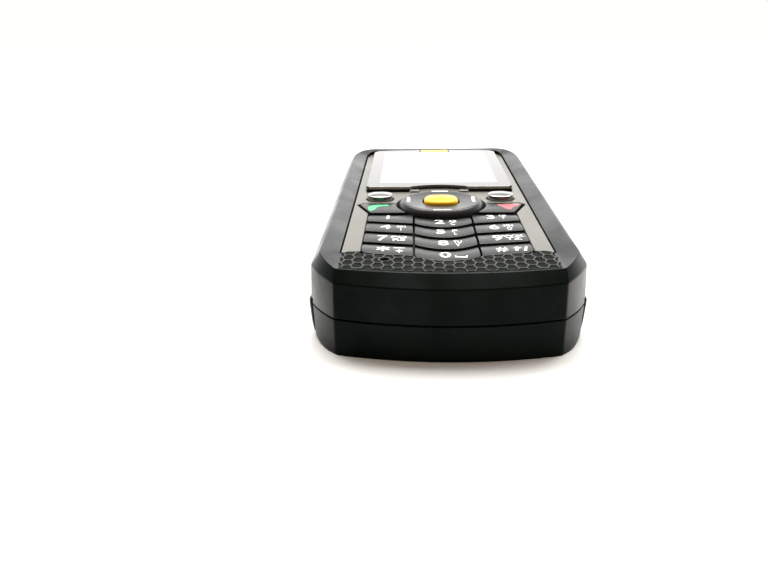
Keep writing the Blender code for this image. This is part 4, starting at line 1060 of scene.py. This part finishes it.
def make_fascia():
    start = math.degrees(math.asin((PANEL_BRIDGE_Y - PAD_Y) / PAD_HOLE_R))
    half = [(22.35, 52.9), (22.35, -46.1), (20.8, -45.1), (FIELD_X + 0.18, -45.1), (FIELD_X + 0.18, -16.0),
            (21.6, -8.2), (21.6, -7.6), (20.2, PANEL_BRIDGE_Y)]
    half += arc((0.0, PAD_Y), PAD_HOLE_R, start, 90.0, 24)
    outline = half + [(-x, y) for x, y in reversed(half) if abs(x) > 1e-6]
    loops = [outline + list(reversed(far_points(20.9, 0.35)))]
    ears, shade_floors = [], bmesh.new()
    for side in (-1.0, 1.0):
        loops.append(superellipse((side * SOFT_CENTRE[0], SOFT_CENTRE[1]),
                                  (SOFT_HALF[0] + 0.33, SOFT_HALF[1] + 0.33), 2.0, 56))
        xs = [side * x for x in SLOT_X]
        centre, half_size = footprint((min(xs), SLOT_Y[0]), (max(xs), SLOT_Y[1]))
        loops.append(rounded_rectangle(centre, half_size, 0.4, 4))
        # near-black floor and back wall in each slot: painted shade for the recess under the window's near
        # edge
        join_into(shade_floors, slab(xs, (SLOT_Y[0] - 0.2, SLOT_Y[1] + 0.2), 16.6, SLOT_FLOOR_Z, 0.05, 0.2),
                  slab(xs, (SLOT_Y[1] - 0.3, SLOT_Y[1] + 0.2), 16.6, 17.89, 0.03, 0.2))
        corners = [(side * COLLAR_X[i], COLLAR_Y[j]) for i, j in ((0, 0), (1, 0), (1, 1), (0, 1))]
        ears.append(plate("collar", [smooth_loop(corners, 0.4)], 17.0, 18.05, 0.35))
    loops.append([(-17.9, 10.2), (17.9, 10.2), (17.9, 55.4), (-17.9, 55.4)])
    piece("slot_floors", shade_floors, SLOT_SHADE, "housing", "panel_plastic")
    bm = join_into(plate("fascia", loops, 15.9, PANEL_Z, 0.22), *ears)
    piece("fascia_panel", bm, PANEL, "housing", "panel_plastic", "keypad_fascia")


def make_window():
    low, high = node_corners("screen_window")
    x, near = high[0], low[1]
    bow = [(NOTCH[0] * i / 16.0, near + NOTCH[1] * (1.0 - (i / 16.0) ** 2)) for i in range(17)]
    sides = bow + [(x - 1.0, near), (x, near + 1.0), (x, 55.8)]
    outline = sides + far_points(x - 1.4, 0.4) + [(-px, py) for px, py in reversed(sides) if px > 0.0]
    pocket = rounded_rectangle((0.0, 57.1), (4.9, 1.8), 0.4, 3)
    bm = plate("window", [outline, pocket], low[2], high[2], 0.18)
    piece("window_pane", bm, WINDOW, "housing", "window_glass", "screen_window")
    low, high = node_corners("badge_plate")
    bm = plate("badge", [rounded_rectangle(*footprint(low, high), 0.6, 5)], low[2], high[2], 0.2)
    piece("badge_face", bm, BADGE, "housing", "badge_metal", "badge_plate")


# ---------------------------------------------------------------- sides, far end and back
def rounded_block(low, high, edge, radius, axis="X"):
    """A soft-cornered block whose rounded outline faces along X or Y; low and high are its corners."""
    rows = ((0, 0, 1), (1, 0, 0), (0, 1, 0)) if axis == "X" else ((1, 0, 0), (0, 0, -1), (0, 1, 0))
    turn = Matrix(rows)
    a, b = turn.transposed() @ Vector(low), turn.transposed() @ Vector(high)
    bm = plate("block", [rounded_rectangle(*footprint(a, b), radius)], min(a.z, b.z), max(a.z, b.z), edge)
    for v in bm.verts:
        v.co = turn @ v.co
    return bm


def make_side_keys():
    def raised(bm, face_x, y, z, half_y, half_z, radius):
        low, high = (face_x - 0.3, y - half_y, z - half_z), (face_x + 0.08, y + half_y, z + half_z)
        join_into(bm, rounded_block(low, high, 0.05, radius))

    low, high = node_corners("volume_rocker", 0.01)
    bm = rounded_block(low, high, 0.35, 1.2)
    mid_z = (low[2] + high[2]) / 2
    for y, half_y, half_z in ((21.5, 0.9, 0.18), (34.5, 0.9, 0.18), (34.5, 0.18, 0.9)):
        raised(bm, high[0], y, mid_z, half_y, half_z, 0.1)
    piece("volume_rocker_cap", bm, SIDE_RUBBER, "volume_rocker_body", "side_rubber", "volume_rocker")
    low, high = node_corners("torch_key", 0.01)
    bm = rounded_block(low, high, 0.35, 1.2)
    for step in (-1.4, 0.0, 1.4):
        raised(bm, high[0], (low[1] + high[1]) / 2 + step, mid_z, 0.2, 0.8, 0.12)
    piece("torch_key_cap", bm, SIDE_RUBBER, "torch_key_body", "side_rubber", "torch_key")


def make_flaps():
    for node in ("usb_cover", "audio_cover"):
        low, high = node_corners(node, 0.01)
        mid_x = (low[0] + high[0]) / 2
        lip = rounded_block((mid_x - 2.2, high[1] - 0.3, high[2] - 1.3),
                            (mid_x + 2.2, high[1] + 0.06, high[2] - 0.8), 0.08, 0.2, "Y")
        bm = join_into(rounded_block(low, high, 0.2, 1.0, "Y"), lip)
        piece(node + "_lid", bm, SIDE_RUBBER, node + "_body", "side_rubber", node)


def make_back():
    low, high = node_corners("battery_cover")
    bm = plate("cover", [rounded_rectangle(*footprint(low, high), 2.4)], low[2], high[2], 0.25)
    cutters = [slab_cutter("notch", rounded_rectangle((0.0, high[1] + 0.5), (6.0, 1.7), 1.0), -1.0, 1.0)]
    for x, y in LOCK_XY:
        cutters.append(tube_shape("cover_hole", (x, y, 1.0), 1.3, 2.0))
        cutters.append(tube_shape("cover_bore", (x, y, 0.2), 2.8, 1.2))
    for i in range(7):
        groove = rounded_rectangle((0.0, -26.0 + 6.2 * i), (15.0, 0.35), 0.3)
        cutters.append(slab_cutter("groove", groove, -1.0, low[2] + 0.3))
    piece("battery_cover_plate", carved(solid("cover", bm), cutters), COVER, "battery_cover_body",
          "cover_plastic", "battery_cover")
    for node, radius, finish in (("camera_window", 4.05, LENS), ("torch_lens", 1.95, TORCH_GLASS)):
        low, high = node_corners(node)
        bm = plate(node, [circle(footprint(low, high)[0], radius, 56)], low[2], high[2], 0.2)
        piece(node + "_disc", bm, finish, "housing", "lens_clear", node)


def turned(profile, centre, steps=40):
    """A turned closed solid from (radius, height) pairs that start and end on the axis."""
    bm = bmesh.new()
    rings = []
    for r, z in profile:
        spots = [centre] if r == 0.0 else circle(centre, r, steps)
        rings.append([bm.verts.new((x * MM, y * MM, z * MM)) for x, y in spots])
    for low, high in zip(rings, rings[1:]):
        for i in range(steps):
            k = (i + 1) % steps
            if len(low) == 1:
                bm.faces.new((low[0], high[k], high[i]))
            elif len(high) == 1:
                bm.faces.new((low[i], low[k], high[0]))
            else:
                bm.faces.new((low[i], low[k], high[k], high[i]))
    return bm


def make_screw(name, body, xy, head_r, head_z, shaft_r, top, slot):
    """A slotted screw with its head down; slot is half the slot's width."""
    z0, z1 = head_z
    profile = [(0.0, top), (shaft_r - 0.2, top), (shaft_r, top - 0.25)]
    z = top - 0.5
    while z > z1 + 0.4:
        profile += [(shaft_r, z), (shaft_r - 0.12, z - 0.2)]
        z -= 0.4
    profile += [(shaft_r, z1 + 0.1), (shaft_r, z1), (head_r - 0.1, z1), (head_r, z1 - 0.1),
                (head_r, z0 + 0.25), (head_r - 0.07, z0 + 0.08), (head_r - 0.25, z0), (0.0, z0)]
    reach = head_r * 0.82
    cutter = box_shape("slot", (xy[0] - reach, xy[1] - slot, z0 - 1.0),
                       (xy[0] + reach, xy[1] + slot, z0 + 0.45))
    obj = carved(solid(name + "_turned", turned(profile, xy)), [cutter])
    piece(name + "_turned", obj, SCREW, body, "screw_steel", name)


def make_screws():
    for i, xy in enumerate(SCREW_XY, 1):
        make_screw(f"housing_screw_{i}", "housing", xy, 1.65, (0.6, 2.0), 0.8, 11.5, 0.25)
    for i, xy in enumerate(LOCK_XY, 1):
        make_screw(f"cover_lock_{i}", f"cover_lock_{i}_body", xy, 2.4, (0.4, 1.1), 0.95, 5.0, 0.4)


def make_battery():
    """The battery pack with a plain pale label."""
    low, high = node_corners("battery", 0.02)
    centre, half = footprint(low, high)
    bm = plate("battery", [rounded_rectangle(centre, half, 1.2)], low[2], high[2], 0.6, 4)
    piece("battery_case", bm, CELL, "housing", "battery_pack", "battery")
    label = plate("label", [rounded_rectangle(centre, (half[0] - 3.0, half[1] - 5.0), 0.8)],
                  low[2] - 0.06, low[2] + 0.02, 0.015, 1)
    piece("battery_label", label, LABEL, "housing", "battery_pack")


NODE_FINISHES = (
    (DISPLAY, ("lcd_module",)),
    (SILICONE, ("dpad_base", "keypad_membrane", "housing_gasket", "antenna_carrier")),
    (FILM, ("dome_sheet", "torch_led")),
    (BOARD, ("main_pcb",)),
    (TIN, ("shield_can_rf", "shield_can_baseband", "sim_holder", "memory_card_holder", "micro_usb_socket")),
    (SPEAKER, ("earpiece", "loudspeaker", "microphone")),
    (MOTOR, ("vibration_motor",)),
    (BRASS, ("battery_connector",)),
    (JACK, ("audio_jack", "camera_module")),
)


def finish_kept_nodes():
    for finish, names in NODE_FINISHES:
        for name in names:
            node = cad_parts[name]
            node.data.materials.clear()
            node.data.materials.append(finish)


# ---------------------------------------------------------------- stage, light and camera
def make_stage():
    bm = bmesh.new()
    for x, y in ((-3.0, -2.0), (3.0, -2.0), (3.0, 0.95), (-3.0, 0.95)):
        bm.verts.new((x, y, 0.0))
    bm.faces.new(bm.verts[:])
    floor = solid("floor", bm)
    floor.data.materials.append(Finish("floor_paper", (0.93, 0.93, 0.925), 0.7, specular=0.2)
                                .mottle(3.0, (0.91, 0.91, 0.90), 0.5).grain(900.0, 0.05, 0.02).done())


def make_light():
    """A white sky, brightest low down behind the phone and dim in front; as a backdrop it is plain white."""
    world = bpy.data.worlds.new("studio")
    bpy.context.scene.world = world
    world.use_nodes = True
    sky = Nodes(world.node_tree)
    way = sky.node("ShaderNodeTexCoord").outputs["Generated"]
    _, ahead, up = sky.node("ShaderNodeSeparateXYZ", Vector=way).outputs

    def ramp(value, low, high, to_low, to_high):
        return sky.span(value, low, high, to_low, to_high, "SMOOTHSTEP")

    low_band = sky.maths("MULTIPLY", ramp(up, 0.24, 0.48, 1.6, 0.0), ramp(ahead, 0.2, 0.8, 0.0, 1.0))
    glow = sky.maths("ADD", sky.maths("ADD", low_band, ramp(up, 0.45, 0.95, 0.0, 0.9)), 0.6)
    glow = sky.maths("MULTIPLY", glow, ramp(ahead, -0.55, 0.45, 0.22, 1.0))
    seen = sky.node("ShaderNodeLightPath").outputs["Is Camera Ray"]
    glow = sky.maths("ADD", sky.maths("MULTIPLY", glow, sky.maths("SUBTRACT", 1.0, seen)), seen)
    white = sky.maths("MAXIMUM", ramp(ahead, -0.5, 0.2, 0.0, 1.0), seen)
    background = world.node_tree.nodes["Background"]
    sky.feed(background.inputs["Strength"], glow)
    warm, plain = sky.colour((1.0, 0.74, 0.50)), sky.colour((1.0, 1.0, 0.99))
    sky.feed(background.inputs["Color"], sky.mix(white, warm, plain))
    light = bpy.data.lights.new("key", "AREA")
    light.shape = "RECTANGLE"
    light.size, light.size_y = 1.6, 1.0
    light.energy = 42.0
    light.color = (1.0, 0.99, 0.97)
    obj = loose_object("key", light)
    obj.location = (0.05, 0.6, 1.2)
    obj.rotation_euler = (Vector((0.0, 0.05, 0.0)) - obj.location).to_track_quat("-Z", "Y").to_euler()


def make_camera():
    """A low view from beyond the keypad end, turned a little to the left."""
    yaw, pitch, roll = -0.04293, 0.37953, -0.01652
    place = Vector((-7.22, -190.198, 67.019)) * MM
    forward = Vector((math.sin(yaw) * math.cos(pitch), math.cos(yaw) * math.cos(pitch), -math.sin(pitch)))
    level_way = Vector((math.cos(yaw), -math.sin(yaw), 0.0))
    right = math.cos(roll) * level_way + math.sin(roll) * level_way.cross(forward)
    data = bpy.data.cameras.new("camera")
    data.sensor_width = 36.0
    data.lens = 34.0
    data.clip_start = 0.005
    camera = loose_object("camera", data)
    axes = Matrix((right, right.cross(forward), -forward)).transposed()
    camera.matrix_world = Matrix.Translation(place) @ axes.to_4x4()
    bpy.context.scene.camera = camera
    bpy.context.scene.view_settings.view_transform = "Standard"


make_frame()
make_rear()
make_grips()
make_honeycomb()
make_strip_floor()
caps = {}
for row, names in enumerate(KEY_ROWS):
    for column, name in enumerate(names):
        caps[name] = make_number_key(row, column, name)
for side, name in ((-1.0, "call_key"), (1.0, "end_key")):
    caps[name] = make_call_key(name, side)
for side, name in ((-1.0, "soft_key_left"), (1.0, "soft_key_right")):
    make_soft_key(name, side)
caps["ring"] = make_ring()
make_select()
make_marks(caps)
make_fascia()
make_window()
make_side_keys()
make_flaps()
make_back()
make_screws()
make_battery()
finish_kept_nodes()
make_stage()
make_light()
make_camera()
